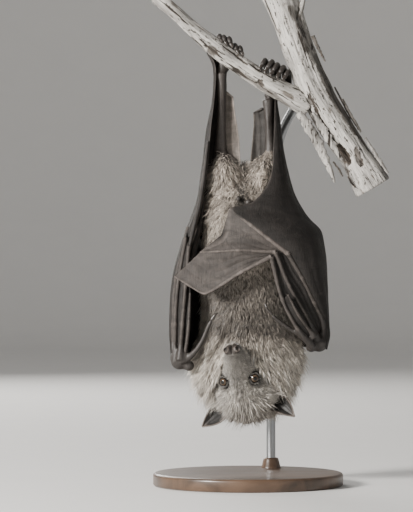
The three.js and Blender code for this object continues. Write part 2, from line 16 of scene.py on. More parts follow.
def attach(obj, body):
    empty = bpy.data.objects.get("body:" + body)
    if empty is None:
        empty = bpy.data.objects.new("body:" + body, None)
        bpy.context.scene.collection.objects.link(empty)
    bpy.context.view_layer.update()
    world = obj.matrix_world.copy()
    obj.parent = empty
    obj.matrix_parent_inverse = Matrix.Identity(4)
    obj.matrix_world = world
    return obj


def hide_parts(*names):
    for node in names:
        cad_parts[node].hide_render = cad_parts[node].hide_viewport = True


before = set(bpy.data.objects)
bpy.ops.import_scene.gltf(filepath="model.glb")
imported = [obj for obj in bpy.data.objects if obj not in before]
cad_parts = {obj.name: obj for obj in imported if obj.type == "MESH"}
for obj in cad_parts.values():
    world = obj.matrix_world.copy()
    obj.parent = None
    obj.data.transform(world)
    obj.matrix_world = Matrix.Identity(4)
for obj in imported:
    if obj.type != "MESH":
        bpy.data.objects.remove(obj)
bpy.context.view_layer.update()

bl_info = {
    "name": "Hanging fruit bat",
    "version": (1, 0, 0),
    "blender": (4, 5, 0),
    "location": "3D View > Sidebar > Fruit bat",
    "description": "Dresses the packed frame of a life-size hanging fruit bat on its stand",
    "category": "Add Mesh",
}

MM = 0.001
BODY = "root"
SIDES = ("l", "r")
SIGN = {"l": -1.0, "r": 1.0}

# ---- Sizes shared with the solids ------------------------------------------------------------

ROD_PATH = [(19, 50, 9), (19, 53, 120), (20, 53, 230), (26, 40, 272), (36, 20, 294), (41, 7, 301)]
ROD_RADIUS = 3.6
BASE = {"radius": 74.0, "height": 10.0, "bevel": 2.2, "socket": (19, 50), "socket_r": 8.0, "socket_h": 18.0}

ROOST_LIMB = [(-72, 3, 381), (-54, 1, 366), (-37.4, 0, 351), (-24, 0, 340), (-5.5, 0, 327),
              (8.6, 0, 317.5), (29.6, 1, 305.5), (48, 3, 296)]
ROOST_RADII = [5.2, 5.3, 5.9, 7.4, 7.4, 7.6, 8.4, 10]
MAIN_LIMB = [(24, 6, 384), (32.5, 5, 360), (42, 4, 333), (53.2, 3, 306), (67.5, 3, 281),
             (83.4, 4, 256.6), (97.7, 5, 232)]
MAIN_RADII = [13.4, 12, 12, 13, 13, 12.6, 15]
TWIG = [(37, 4, 360), (41.5, 0, 372), (44, -1, 384)]
TWIG_RADII = [3.2, 2.3, 1.7]

# x, y, z, half width and half depth, coat included.
TRUNK = [(-2, 14, 238, 9, 9), (-2, 13, 228, 25, 19), (-1, 13, 215, 33, 26), (1, 12, 200, 37, 30),
         (2.3, 12, 180, 40.5, 33), (2.5, 12, 160, 41, 34), (2.5, 11, 140, 41, 34),
         (1, 10, 122, 41, 32), (0, 8, 106, 45, 30), (-1.5, 6, 91, 45, 28), (-1.5, 5, 78, 39.5, 25),
         (-0.5, 4, 67, 31, 20), (0, 4, 59, 18, 12)]
NECK_TOP, CHEST_TOP = 119.0, 172.0

HEAD = {"at": (-6.3, -19, 83), "yaw": 17.5, "pitch": 40.0, "roll": 9.0}
SKULL = [(0, 31.4, -7, 2.6, 2.6), (0, 29.6, -7.4, 5.4, 5.2), (0, 24, -7.6, 7.2, 7.4),
         (0, 16, -7, 9.4, 9.6), (0, 8, -5.8, 12.4, 12), (0, 0, -4.2, 17, 14.8),
         (0, -9, -2.5, 23, 18), (0, -19, -1.5, 27, 20), (0, -29, -2, 26.5, 19.5),
         (0, -37, -3, 21, 16), (0, -42, -4, 11, 8)]
EYE = {"at": (11.1, 1.2, 0.8), "radius": 5.0, "out": (0.36, 0.66, 0.66)}
NOSTRIL = {"at": (3.8, 30.6, -5.6), "radius": 3.0, "out": (0.50, 0.82, 0.27), "hole": 1.3}
EAR = {"base": (17.5, -24, 2.5), "tip": (36.8, -31, 17.5), "width": 8.2, "facing": (0.16, 0.78, 0.60)}

SHANK = {"l": [(-21.5, 14, 252), (-21, 12, 275), (-20.6, 10.5, 300), (-20.9, 10.2, 322)],
         "r": [(18.2, 14, 250), (17.2, 12, 270), (16.2, 10.5, 290), (15.6, 10.2, 301)]}
SHANK_RADII = [6, 3.9, 3.2, 4.6]
THIGH = {"l": [(-14, 12, 212), (-15.6, 12, 226), (-16.8, 13, 240), (-18.6, 14, 252), (-20.6, 14, 262)],
         "r": [(11, 12, 212), (10.6, 12, 226), (10.6, 13, 240), (14.4, 14, 252), (17.4, 14, 260)]}
THIGH_RADII = [(8, 9), (12, 14.5), (12.8, 16), (10, 13), (5.4, 7)]
# The highest point of each toe, over the limb, and how far it hooks down the front of it.
TOES = {"l": [((-22.4, -0.5, 350.0), 0.72), ((-19.2, -0.5, 349.2), 0.9), ((-15.1, -0.8, 348.0), 1.0),
              ((-10.4, -0.8, 342.6), 1.0), ((-6.7, -0.5, 340.9), 0.9)],
        "r": [((13.0, -0.6, 331.0), 0.80), ((18.3, -0.8, 329.9), 1.04), ((22.5, -0.8, 327.6), 1.0),
              ((27.3, -0.6, 325.6), 0.94), ((30.8, -0.3, 322.1), 0.7)]}
ANKLE = {"l": (-21, 10.4, 322), "r": (15.6, 10.4, 302)}
HOOK = {"l": [(0.4, -3.2, -1.2), (1.6, -5.4, -4.4), (2.8, -6.2, -6.8), (2.2, -5.4, -8.6)],
        "r": [(-1.2, -2.6, -2.0), (-3.2, -4.4, -5.6), (-4.9, -6.6, -8.4), (-2.5, -6.6, -11.4)]}
TOE_RADII = [2.0, 2.1, 2.15, 2.15, 1.8]

ELBOW = {"l": (-43.5, 40, 199), "r": (50.5, 41, 201)}
WRIST = {"l": (-53, -14, 95.6), "r": (54.6, -13, 110.4)}
SHOULDER = {"l": (-29, 16, 140), "r": (33, 16, 142)}
FOREARM_RADII = [6.4, 4.6, 3.4, 3.6]
UPPER_ARM_RADII = [8.5, 7, 5.4]
WRIST_LUMPS = {"l": [((-53, -13.4, 96.6), (7.2, 5.2, 6.2)), ((-46, -14.5, 93.6), (4.4, 4.2, 4.2)),
                     ((-57.2, -12, 99.6), (3.6, 4, 4.6))],
               "r": [((54.6, -13, 110.4), (7.0, 5.2, 6.2)), ((48.6, -14.6, 107.8), (4.2, 4, 3.8)),
                     ((58.8, -12, 112), (3.6, 4, 4.8))]}
THUMB = {"l": [(-47, -18, 99), (-39.4, -23, 107.2), (-35.2, -25, 114.4), (-31, -26.5, 124.4),
               (-28, -27.4, 130)],
         "r": [(48, -18, 111.5), (38.6, -23, 118), (29.4, -26, 124), (21.4, -28, 130), (17.4, -28.6, 134)]}
THUMB_RADII = [2.9, 2.2, 1.8, 1.8, 1.6]
THUMB_CLAW = {"l": [(-28, -27.4, 130), (-25.4, -28.6, 133.6), (-23.2, -28, 134.8)],
              "r": [(17.4, -28.6, 134), (13.6, -30, 138.6), (12.6, -29.6, 142.6)]}
THUMB_CLAW_RADII = [1.7, 1.2, 0.3]
TOE_CLAW_RADII = [1.75, 1.3, 0.25]

FINGERS = {
    "r": {
        2: ([(51, -21, 116), (38, -31.4, 134), (30, -35.4, 149)], [2.2, 1.8, 1]),
        3: ([(50, -19, 108), (37.7, -28, 122.5), (26, -32, 145), (17.2, -34, 178), (-6, -36, 166),
             (-33.5, -33, 149.2), (-46, -30, 156), (-57.1, -26.5, 163)],
            [2.6, 2.2, 2.2, 2.8, 2, 2, 1.4, 0.9]),
        4: ([(54, -14, 113), (44, -26, 133), (31, -31, 156), (20.5, -33, 181.5), (-8, -34, 183),
             (-24, -32, 182), (-37.4, -29, 181.5)], [2.4, 2, 2, 2.6, 1.8, 1.5, 0.8]),
        5: ([(58.5, -11, 116), (57, -16, 129), (50.5, -22, 143), (41, -27, 162), (30.2, -30, 180.4),
             (15, -32, 192), (1.6, -31, 202.5), (-14.8, -26, 214.9)],
            [2.6, 2.1, 2.1, 2.2, 2.8, 2, 1.9, 0.9]),
    },
    "l": {
        2: ([(-50, -18, 96), (-46.4, -21, 122), (-45, -20, 150)], [2.3, 1.8, 1.2]),
        3: ([(-53, -19, 98), (-51, -20, 126), (-48.6, -19, 155), (-46, -13, 186)], [2.6, 2.2, 2.1, 2.2]),
        4: ([(-56.5, -15, 96), (-56.6, -16, 126), (-54.6, -14, 155), (-48.4, -8, 193)], [2.6, 2.2, 2.1, 2.2]),
        5: ([(-57.5, -9, 97), (-58.2, -8, 126), (-56, -5, 160), (-46.6, 2, 201)], [2.6, 2.2, 2.1, 2.3]),
    },
}
KNUCKLE = {3: 3, 4: 3, 5: 4}
BONE = 0.66  # how thick a bone is under the wing skin, against the finger's solid
TIP_EDGE = [(-14.8, -26, 214.9), (-14.2, -28, 201), (-19.9, -30, 189.5), (-37.4, -29, 181.5)]

# Cloak rows: front edge, side, back edge.
CLOAK = {
    "r": [
        ((21.5, 9, 309), (23.4, 11, 309), (15, 16, 309)),
        ((21, 6.5, 300), (22.6, 10.5, 300), (14, 18, 300)), ((20.5, 0, 284), (25, 11, 283), (14, 22, 283)),
        ((19.4, -6, 260), (28.4, 13, 258), (18, 36, 257)),
        ((18.4, -10, 246), (31.8, 14, 242), (20, 41, 241)),
        ((14.5, -16, 233.5), (36, 15, 228), (22, 44, 227)), ((2, -24, 219.5), (42, 16, 216), (25, 46, 215)),
        ((-14.2, -27.4, 214.8), (49, 17, 206), (33, 47, 207)),
        ((1.6, -31, 202.6), (57, 17, 198), (50.8, 38, 197)),
        ((15, -32, 192), (59.5, 13, 187), (51.5, 31, 186)),
        ((30.2, -30, 180.4), (61, 8, 174), (52.6, 22, 171)),
        ((41, -27, 162), (61.5, 1, 156), (53.8, 11, 155)),
        ((50.5, -22, 143), (62, -4, 140), (54.8, 1, 138)),
        ((57, -16, 129), (62.5, -9, 126), (56.4, -7, 124)),
        ((57.8, -15.6, 119), (62.8, -11, 116), (57.2, -7.6, 115)),
        ((56, -16.8, 110), (60.6, -12.4, 106), (55.6, -9, 107)),
    ],
    "l": [
        ((-30, 9, 337), (-32, 11, 338), (-24, 14, 335)),
        ((-25.4, 6, 327), (-27.2, 10, 327), (-18, 17, 325)),
        ((-26, 3, 304), (-27.2, 11, 304), (-17, 20, 304)),
        ((-29, 0, 277), (-32.4, 11, 277), (-24.5, 26, 277)),
        ((-31.6, -3, 246), (-36, 12, 246), (-25, 38, 246)),
        ((-35.4, -5, 222), (-40.2, 14, 222), (-27, 45, 222)),
        ((-39.6, -6, 204), (-46.4, 16, 204), (-34, 47, 205)),
        ((-48.6, -4, 188), (-52, 16, 188), (-45, 35, 187)),
        ((-56, -4, 160), (-59, 8, 160), (-47.6, 20, 159)),
        ((-58.2, -8, 126), (-61, -4, 126), (-50.6, 3, 128)),
        ((-58, -9, 108), (-60.4, -9, 108), (-52.2, -6, 110)),
        ((-56.6, -12, 99), (-59.6, -12, 98), (-53, -8, 99)),
    ],
}
WING_BACK = {
    "r": [
        ((50.5, 41, 203), (42, 48, 203), (29, 47, 203)), ((50.8, 37, 192), (44, 46, 192), (32, 45, 192)),
        ((52, 26, 173), (47, 38, 173), (34, 42, 173)), ((54, 12, 152), (50, 26, 152), (37, 36, 152)),
        ((55.5, -2, 130), (52, 12, 131), (39, 28, 133)), ((55, -7, 118), (50, 6, 118), (38, 20, 120)),
        ((53, -9, 108), (48, 1, 107), (38, 14, 108)),
    ],
    "l": [
        ((-44, 40, 201), (-39, 48, 203), (-30, 47, 203)), ((-45, 35, 190), (-40, 45, 192), (-30, 45, 192)),
        ((-47.2, 23, 168), (-43, 37, 171), (-31, 42, 173)),
        ((-49.4, 10, 142), (-46, 26, 147), (-34, 36, 152)), ((-51, 0, 124), (-48, 12, 128), (-37, 28, 133)),
        ((-52.5, -5, 110), (-47, 5, 112), (-36, 20, 115)), ((-50, -9, 98), (-45, 0, 99), (-37, 12, 101)),
    ],
}
TAIL_MEMBRANE = {
    "l": ([(-18.5, 10.4, 308), (-18.6, 10.6, 294), (-18.4, 11.4, 272), (-17.4, 12, 248)],
          [(-11.4, 13, 302.4), (-10.1, 14, 292), (-7, 14, 271.4), (-5.4, 11, 248)]),
    "r": ([(13.4, 10.4, 295), (13.8, 10.8, 284), (13.6, 11.6, 268), (12.8, 12, 247)],
          [(4.3, 13, 290.4), (4.6, 14, 283), (3.2, 14, 266.3), (1.2, 11, 247)]),
}

# ---- Sizes of the dressing alone -------------------------------------------------------------

REGIONS = ("trunk", "head", "nose", "thigh", "arm", "shank", "foot", "forearm", "wrist", "thumb")
FURRED = ("trunk", "head", "thigh")
XY, XZ = ((1, 0, 0), (0, 1, 0)), ((1, 0, 0), (0, 0, 1))  # axes that rings of flesh are laid across

# How far the skin lies in at each station, for the trunk as a share of the coat's depth.
TRUNK_INSET = (1, 1, 1, 1, 1, 1, 1, 1.2, 1.6, 1.7, 1.5, 1.2, 1)
HEAD_INSET = (0.2, 0.2, 0.3, 0.6, 1.0, 1.6, 3.2, 4.2, 4.6, 4.2, 3.0)
THIGH_INSET = (3.5, 3.5, 3.2, 2.4, 1)
UPPER_ARM_INSET = 1.2
ORBIT_RADIUS, ORBIT_DEPTH = 6.3, 2.0
RUMP_FILL = ((-2.6, 14, 243), (8, 8.5, 8))
BARE_BUMPS = [((0.4, -12.6, 220.0), (3.5, 3.4, 3.2)), ((-7.6, -11.6, 223), (2.3, 2.6, 2.7))]
# Tones of the ear: painted shade inside the hollow, a painted highlight along the rim, paler towards the tip
# and on the back.
EAR_TONES = {"inside": 0.4, "rim": 5.0, "tip": 3.0, "back": 1.6}

# Tones of the wings, as shares of the wing's colour.
EDGE_HIGHLIGHT, RIM_WIDTH = 2.2, 0.9  # painted highlight, added along a free edge
BONE_HIGHLIGHT, KNOB_HIGHLIGHT, KNOB_SWELL, KNOB_REACH = 3.2, 4.3, 0.16, 1.6  # painted highlight on a bone, stronger on its joints, which also swell
TIP_LIGHT, TIP_BONE_HIGHLIGHT = 3.2, 1.9  # painted light: the wing tips and their bones are painted paler, as if lit
# Painted light on the left tail skin and painted shade on the right; the spurs are paler.
TAIL_LIGHT_AND_SHADE, SPUR_TONE = {"l": 1.4, "r": 0.32}, 1.6
FOLDS = [  # narrow pleats of the left wing: points, width
    ([(-31, -2, 268), (-34.7, -5.5, 236.3), (-37.6, -7, 218.4), (-41.6, -10, 202.8), (-46, -12, 183.3),
      (-51, -15, 160)], 3.0),
    ([(-34, -1, 226), (-37, -4, 207.5), (-41, -8, 191), (-45.4, -12, 174), (-49, -14, 158)], 2.6),
    ([(-33.5, 2, 214), (-37.4, -1, 199), (-42, -5, 184), (-46, -9, 168)], 2.4),
]

COATS = {  # slot, share of the tufts
    "coat_face": ("face_fur", 0.145),
    "coat_cheeks": ("face_fur", 0.15),
    "coat_ruff_front": ("face_fur", 0.13),
    "coat_ruff_back": ("face_fur", 0.105),
    "coat_chest": ("body_fur", 0.13),
    "coat_belly": ("body_fur", 0.125),
    "coat_back": ("body_fur", 0.145),
    "coat_thighs": ("body_fur", 0.07),
}
COAT_SPLIT, FACE_SPLIT = 9, -14  # where front meets back, and cheeks meet face
THIGHS = (196, 222)  # heights between which the longer, looser fur of the thighs begins
TUFT_POINTS = 7  # three at its foot, three round its middle, and its tip
LOCK = 17  # tufts drawn to each lock
GUARD_SHARE = 0.07  # tufts that stand out as guard hairs
FRINGE_SHARE, FRINGE_LENGTH, FRINGE_LIFT = 0.20, 1.75, 2.4  # longer wisps on the crown
SHORTEST = 0.7  # a tuft with less room than this is left out
NOSE_BARE, LIDS_BARE = 29.0, 5.9  # where the face's fur ends: at the nose, and round an eye
PATCH = 0.003  # size of a tuft on the baked map

# Dark hollows, remains of bark, dark bands and painted shade along the front of the limbs: points, half
# width, depth, darkness.
SCARS_AND_SHADE = [
    ([(46.8, 304), (50.5, 298), (55.1, 286.3), (61.3, 276.1), (67.5, 266.2)], 1.1, 1.6, 1.0),
    ([(47.4, 301.5), (49.6, 297)], 2.6, 1.0, 0.8),
    ([(69.8, 263.5), (74.1, 257.4), (77.6, 250.6)], 3.4, 2.4, 1.0),
    # A broad, shallow dark band below the twig.
    ([(33.9, 371), (41.5, 357), (47, 343), (51.5, 329)], 4.2, 0.3, 0.62),
    # Painted shade, with some bark, along the right edge of the main limb.
    ([(53, 334), (60, 316), (69, 299), (80, 283), (92, 268), (104, 254)], 4.0, 0.2, 0.8),
    ([(56.2, 360), (52.0, 348), (50.5, 340)], 1.6, 1.2, 0.9),
    ([(58.8, 281), (66.8, 266), (76.4, 246), (80, 236)], 0.7, 1.4, 1.0),
    ([(84, 262), (86.2, 253), (88.4, 249)], 2.6, 0.8, 0.85),
    ([(-29.5, 339.5), (-26.0, 336.5)], 3.6, 0.7, 0.85),
    ([(-33.5, 342), (-32.6, 341)], 1.2, 1.2, 1.0),
    ([(-10.6, 336), (-6.4, 332), (-0.5, 327.5)], 0.9, 0.8, 0.95),
    ([(8.6, 315), (11.0, 311)], 2.3, 1.2, 0.95),
    ([(-8, 322), (2, 316), (12, 309), (22, 302), (32, 294)], 2.0, 0.2, 0.6),
    ([(40.6, 374), (38.0, 362)], 0.6, 0.9, 0.9),
    ([(28.4, 366), (33, 352), (38.6, 338), (45, 322)], 0.45, 0.8, 0.7),
]
FLAKES = [  # points in the x-z plane, widths along it, depth, bow, darkness
    ([(39.6, 290), (45.2, 281.6), (51.5, 271.4), (56.4, 262), (60.8, 252), (64.7, 243), (67.1, 235.6)],
     [4.5, 7.2, 7.6, 7, 5.6, 3.6, 0.6], -6.5, 1.2, 0.12),
    ([(50.2, 290), (56.8, 279), (62.8, 269), (68.6, 259.6), (71.5, 254)],
     [1.5, 5.5, 6, 5, 1.5], -9.6, 0.8, 0.05),
    ([(67.5, 310.5), (72.6, 300.6), (79, 289), (86.6, 277.2)], [0.5, 1.3, 1.5, 1.2], 1.5, 0.3, 0.85),
    ([(73.6, 301), (80.2, 288.5), (88, 275)], [0.5, 1.4, 1.0], -1.5, 0.3, 0.8),
    ([(50.2, 350), (54.6, 340.4), (60.1, 330)], [3.2, 2.2, 0.4], -2.5, 0.4, 0.85),
    ([(91, 270.5), (97, 261), (104, 250), (108.6, 243)], [0.8, 2.2, 2.4, 1.2], -5.2, 0.5, 0.45),
    ([(66, 252), (70.4, 246.2), (73.6, 240.4)], [0.6, 1.3, 0.4], -5, 0.2, 0.9),
    ([(77.5, 240.4), (80.2, 235.6), (83.4, 231.6)], [0.4, 1.3, 0.4], -5, 0.2, 0.9),
]

SENSOR = 36.0
# The floor is level out to its edge, and then bends up into the backdrop.
FLOOR = {"edge": 3200.0, "bend": 1500.0, "top": 4600.0, "sides": 96}
LAMPS = {  # place and size in metres, share of the key's power, colour
    "key": ((-1.45, -1.2, 0.75), 0.40, 1.0, (1.0, 0.97, 0.93)),
    "fill": ((1.4, -1.7, 0.5), 1.4, 0.03, (0.93, 0.96, 1.0)),
    "back": ((-0.6, 1.6, 0.9), 0.9, 0.22, (1.0, 0.98, 0.95)),
}
LIT = (0, 0, 0.17)  # what the lamps point at, in metres


# ---- Settings --------------------------------------------------------------------------------

def colour(name, description, value):
    return FloatVectorProperty(name=name, description=description, default=value, subtype="COLOR",
                               size=3, min=0.0, max=1.0)


class BatSizes(bpy.types.PropertyGroup):
    """Sizes that a user would change."""

    coat_depth: FloatProperty(name="Coat depth", default=0.0042, unit="LENGTH", min=0.001, max=0.01,
                              description="How far the skin of the trunk lies under the tips of the coat")
    skin_voxel: FloatProperty(name="Skin detail", default=0.0009, unit="LENGTH", min=0.0004, max=0.003,
                              description="Size of the cells that the skin is joined from")
    wing_thickness: FloatProperty(name="Wing thickness", default=0.0007, unit="LENGTH", min=0.0003,
                                  max=0.002, description="Thickness of the wing and tail skin")
    tuft_width: FloatProperty(name="Tuft width", default=0.00033, unit="LENGTH", min=0.0001, max=0.002,
                              description="Width of a body tuft at its root")
    tufts: IntProperty(name="Tufts", default=138000, min=1000, max=150000,
                       description="Number of tufts in the whole coat")
    seed: IntProperty(name="Seed", default=11, description="Seed of every random choice")


class BatColours(bpy.types.PropertyGroup):
    """Colours of the animal, its perch and its stand."""

    fur_root: colour("Fur root", "Fur near the skin on the body", (0.048, 0.036, 0.028))
    fur_tip: colour("Fur tip", "Frosted tips of the body fur", (0.59, 0.52, 0.445))
    face: colour("Face", "Fur of the face", (0.68, 0.63, 0.56))
    ruff: colour("Ruff", "Tips of the fur round the neck", (0.79, 0.715, 0.62))
    bare: colour("Bare skin", "Feet, ears and nose", (0.024, 0.020, 0.0175))
    wing: colour("Wing", "Wing skin", (0.0150, 0.0128, 0.0115))
    tail: colour("Tail skin", "Thin skin between the legs", (0.075, 0.065, 0.057))
    iris: colour("Iris", "Colour of the eye", (0.060, 0.041, 0.027))
    claw: colour("Claw", "Horn of the claws", (0.016, 0.013, 0.011))
    wood: colour("Weathered wood", "Bare grey wood of the perch", (0.44, 0.42, 0.39))
    bark: colour("Bark", "Dark bark and knots of the perch", (0.050, 0.040, 0.032))
    base: colour("Base", "Stained wood of the base", (0.07, 0.042, 0.026))
    rod: colour("Rod", "Brushed steel of the stand's rod", (0.34, 0.35, 0.36))


class StageSettings(bpy.types.PropertyGroup):
    """Camera, floor and lights."""

    lens: FloatProperty(name="Lens", default=198.5, min=20, max=400,
                        description="Focal length in millimetres")
    distance: FloatProperty(name="Distance", default=2.2, unit="LENGTH", min=0.3, max=6.0,
                            description="From the camera to the middle of the animal")
    aim: FloatVectorProperty(name="Aim", default=(-0.0324, 0.0, 0.1786), unit="LENGTH", size=3,
                             description="Point in the middle of the picture")
    floor: colour("Floor", "Colour of the floor and backdrop", (0.78, 0.77, 0.75))
    key: FloatProperty(name="Key light", default=96.0, min=0, max=500,
                       description="Power of the main light in watts")
    room: FloatProperty(name="Room light", default=0.20, min=0, max=5,
                        description="Strength of the light from all round")


def sizes():
    return bpy.context.scene.bat_sizes


def colours():
    return bpy.context.scene.bat_colours


# ---- Curves and meshes -----------------------------------------------------------------------

def arr(points):
    return np.asarray(points, float)


def dense_curve(points, per_span=24):
    """Centripetal Catmull-Rom samples through the points."""
    p = arr(points)
    ext = np.vstack([2 * p[0] - p[1], p, 2 * p[-1] - p[-2]])
    t = np.linspace(0, 1, per_span, endpoint=False)[:, None]
    spans = []
    for i in range(len(p) - 1):
        p0, p1, p2, p3 = ext[i:i + 4]
        pairs = ((p0, p1), (p1, p2), (p2, p3))
        d1, d2, d3 = (max(np.linalg.norm(b[:3] - a[:3]) ** 0.5, 1e-3) for a, b in pairs)
        m1 = d2 * ((p1 - p0) / d1 - (p2 - p0) / (d1 + d2) + (p2 - p1) / d2)
        m2 = d2 * ((p2 - p1) / d2 - (p3 - p1) / (d2 + d3) + (p3 - p2) / d3)
        spans.append(p1 * (2 * t**3 - 3 * t**2 + 1) + m1 * (t**3 - 2 * t**2 + t)
                     + p2 * (3 * t**2 - 2 * t**3) + m2 * (t**3 - t**2))
    return np.vstack(spans + [p[-1:]])


def run_along(path):
    """Distance from the start of the path at each of its points."""
    return np.concatenate([[0], np.cumsum(np.linalg.norm(np.diff(path, axis=0), axis=1))])


def sampled(dense, run, count):
    at = np.linspace(0, run[-1], count)
    return np.stack([np.interp(at, run, column) for column in dense.T], axis=1)


def curve(points, count):
    """count samples, evenly spaced along the smooth curve through the points."""
    dense = dense_curve(points)
    return sampled(dense, run_along(dense[:, :3]), count)


def through(points, count):
    """count samples at even steps between the control points."""
    dense = dense_curve(points)
    return sampled(dense, np.arange(len(dense)), count)


def spread(values, count):
    return np.interp(np.linspace(0, 1, count), np.linspace(0, 1, len(values)), values)


def unit(v):
    v = arr(v)
    return v / np.maximum(np.linalg.norm(v, axis=-1, keepdims=True), 1e-12)


def ring_faces(rings, sides):
    i, j = np.meshgrid(np.arange(rings - 1), np.arange(sides), indexing="ij")
    a, b = i * sides + j, i * sides + (j + 1) % sides
    return np.stack([a, b, b + sides, a + sides], axis=-1).reshape(-1, 4)


def skin_rings(rings):
    """Closed mesh over rings of equal length: (vertices, faces)."""
    count, sides = rings.shape[:2]
    verts = np.vstack([rings.reshape(-1, 3), rings[0].mean(0), rings[-1].mean(0)])
    faces = ring_faces(count, sides).tolist()
    start, last = count * sides, (count - 1) * sides
    faces += [[(j + 1) % sides, j, start] for j in range(sides)]
    faces += [[last + j, last + (j + 1) % sides, start + 1] for j in range(sides)]
    return verts, faces


def frames_along(path):
    """Two unit directions across the path at each sample, carried along without twisting."""
    along = unit(np.gradient(path, axis=0))
    seed = (0, 1, 0) if abs(along[0][1]) < 0.8 else (1, 0, 0)
    across = [unit(np.cross(along[0], seed))]
    for direction in along[1:]:
        across.append(unit(across[-1] - direction * np.dot(across[-1], direction)))
    across = arr(across)
    return across, np.cross(along, across)


def full_turn(sides):
    return np.linspace(0, 2 * np.pi, sides, endpoint=False)


def tube(path, radius, sides, flat=1.0):
    """Closed mesh round a path that has a radius at each of its points: (vertices, faces)."""
    across, along = frames_along(path)
    turn = full_turn(sides)[None, :, None]
    circle = across[:, None] * np.cos(turn) + flat * along[:, None] * np.sin(turn)
    return skin_rings(path[:, None] + radius[:, None, None] * circle)


def bar(points, radii, count, sides, flat=1.0, round_ends=False):
    """A tube along the smooth curve through the points."""
    radius = spread(radii, count)
    if round_ends:
        run = np.linspace(0, 1, count)
        radius = radius * np.minimum(1, np.sqrt(1 - np.clip((run - 0.93) / 0.075, 0, 0.999) ** 2))
    return tube(curve(points, count), radius, sides, flat)


def turned(profile, sides, middle=(0, 0)):
    """Rings of a profile (radius, height), turned round an upright line."""
    x, y = middle
    turn = full_turn(sides)
    return arr([[(x + r * math.cos(a), y + r * math.sin(a), z) for a in turn] for r, z in profile])


def loft(stations, count, sides, axes, inset):
    """Rings across the two given axes, through stations (x, y, z, half width, half depth)."""
    middle = through(stations, count)
    inset = spread(inset, count)
    turn = full_turn(sides)[None, :, None]
    wide = np.maximum(middle[:, 3] - inset, 0.8)[:, None, None] * np.cos(turn) * arr(axes[0])
    deep = np.maximum(middle[:, 4] - inset, 0.8)[:, None, None] * np.sin(turn) * arr(axes[1])
    return skin_rings(middle[:, None, :3] + wide + deep)


def merge(parts):
    """One (vertices, faces) pair from several."""
    verts, faces, start = [], [], 0
    for part_verts, part_faces in parts:
        verts.append(part_verts)
        faces += [[k + start for k in face] for face in part_faces]
        start += len(part_verts)
    return np.vstack(verts), faces


def mesh_object(name, verts, faces):
    """A new object, from vertices in millimetres."""
    mesh = bpy.data.meshes.new(name)
    mesh.from_pydata((arr(verts) * MM).tolist(), [], faces if isinstance(faces, list) else faces.tolist())
    mesh.update()
    mesh.polygons.foreach_set("use_smooth", np.ones(len(mesh.polygons), bool))
    obj = bpy.data.objects.new(name, mesh)
    bpy.context.scene.collection.objects.link(obj)
    return obj


def recalc_normals(obj):
    edit = bmesh.new()
    edit.from_mesh(obj.data)
    bmesh.ops.recalc_face_normals(edit, faces=edit.faces)
    edit.to_mesh(obj.data)
    edit.free()


def vertices_of(obj):
    co = np.empty(len(obj.data.vertices) * 3)
    obj.data.vertices.foreach_get("co", co)
    return co.reshape(-1, 3) / MM


def set_vertices(obj, verts):
    obj.data.vertices.foreach_set("co", (verts * MM).ravel())
    obj.data.update()


def normals_of(obj):
    n = np.empty(len(obj.data.vertices) * 3)
    obj.data.vertex_normals.foreach_get("vector", n)
    return n.reshape(-1, 3)


def apply_modifiers(obj):
    graph = bpy.context.evaluated_depsgraph_get()
    done = bpy.data.meshes.new_from_object(obj.evaluated_get(graph))
    old = obj.data
    obj.modifiers.clear()
    obj.data = done
    bpy.data.meshes.remove(old)


def place(obj, slot, *nodes):
    """Hangs the piece on the body, and hides the parts of the frame that it stands for."""
    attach(obj, BODY)
    if nodes:
        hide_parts(*nodes)


def tint(obj, values):
    """A colour for each vertex, from formulas in this file."""
    layer = obj.data.color_attributes.new("tint", "FLOAT_COLOR", "POINT")
    rgba = np.ones((len(values), 4), np.float32)
    rgba[:, :3] = values
    layer.data.foreach_set("color", rgba.ravel())


def store(obj, name, kind, values):
    """A named attribute with a value for each vertex."""
    layer = obj.data.attributes.new(name, kind, "POINT")
    key = "vector" if kind == "FLOAT_VECTOR" else "value"
    layer.data.foreach_set(key, values.astype(np.int32 if kind == "INT" else np.float32).ravel())


def smoothstep(low, high, x):
    t = np.clip((x - low) / (high - low), 0, 1)
    return t * t * (3 - 2 * t)


def bell(x, middle, width):
    """A smooth bump: 1 at the middle, and small two widths away."""
    return np.exp(-((x - middle) / width) ** 2)


def blend(a, b, share):
    return a + (b - a) * share


def ripple(points, scale, seed):
    """Smooth noise from -1 to 1 at each point, with the given grain in millimetres."""
    places = arr(points) / scale + arr((seed, -seed, 2 * seed))
    return arr([noise.noise(Vector(place)) for place in places])


# ---- Head frame ------------------------------------------------------------------------------

def head_axes():
    """Unit directions to the animal's right, its nose and its crown, as rows."""
    yaw, pitch, roll = (math.radians(HEAD[k]) for k in ("yaw", "pitch", "roll"))
    level = arr((math.cos(yaw), -math.sin(yaw), 0))
    nose = arr((-math.sin(yaw) * math.cos(pitch), -math.cos(yaw) * math.cos(pitch), math.sin(pitch)))
    chin = unit(np.cross(nose, level))
    right = level * math.cos(roll) + chin * math.sin(roll)
    return np.stack([right, nose, np.cross(right, nose)])


HEAD_AXES = head_axes()


def from_head(points):
    return arr(points) @ HEAD_AXES + arr(HEAD["at"])


def to_head(points):
    return (arr(points) - arr(HEAD["at"])) @ HEAD_AXES.T


def mirror_x(point, side):
    return arr((point[0] * SIGN[side], point[1], point[2]))


def eye_frame(side):
    """Centre of the eye, and its outward, corner-to-corner and lid-to-lid directions, in the head's frame."""
    out = unit(mirror_x(EYE["out"], side))
    corner = unit(np.cross((0, 0, 1), out)) * SIGN[side]
    return mirror_x(EYE["at"], side), out, corner, np.cross(out, corner)


def orbit(side):
    """Middle of the mound that the eye is set in."""
    centre, out, _, _ = eye_frame(side)
    return centre - out * ORBIT_DEPTH


def distance_to_eye(local, squash=(1, 1, 1)):
    """Distance from the middle of the nearer eye, in the head's frame."""
    gaps = [np.linalg.norm((local - eye_frame(side)[0]) * arr(squash), axis=1) for side in SIDES]
    return np.minimum.reduce(gaps)


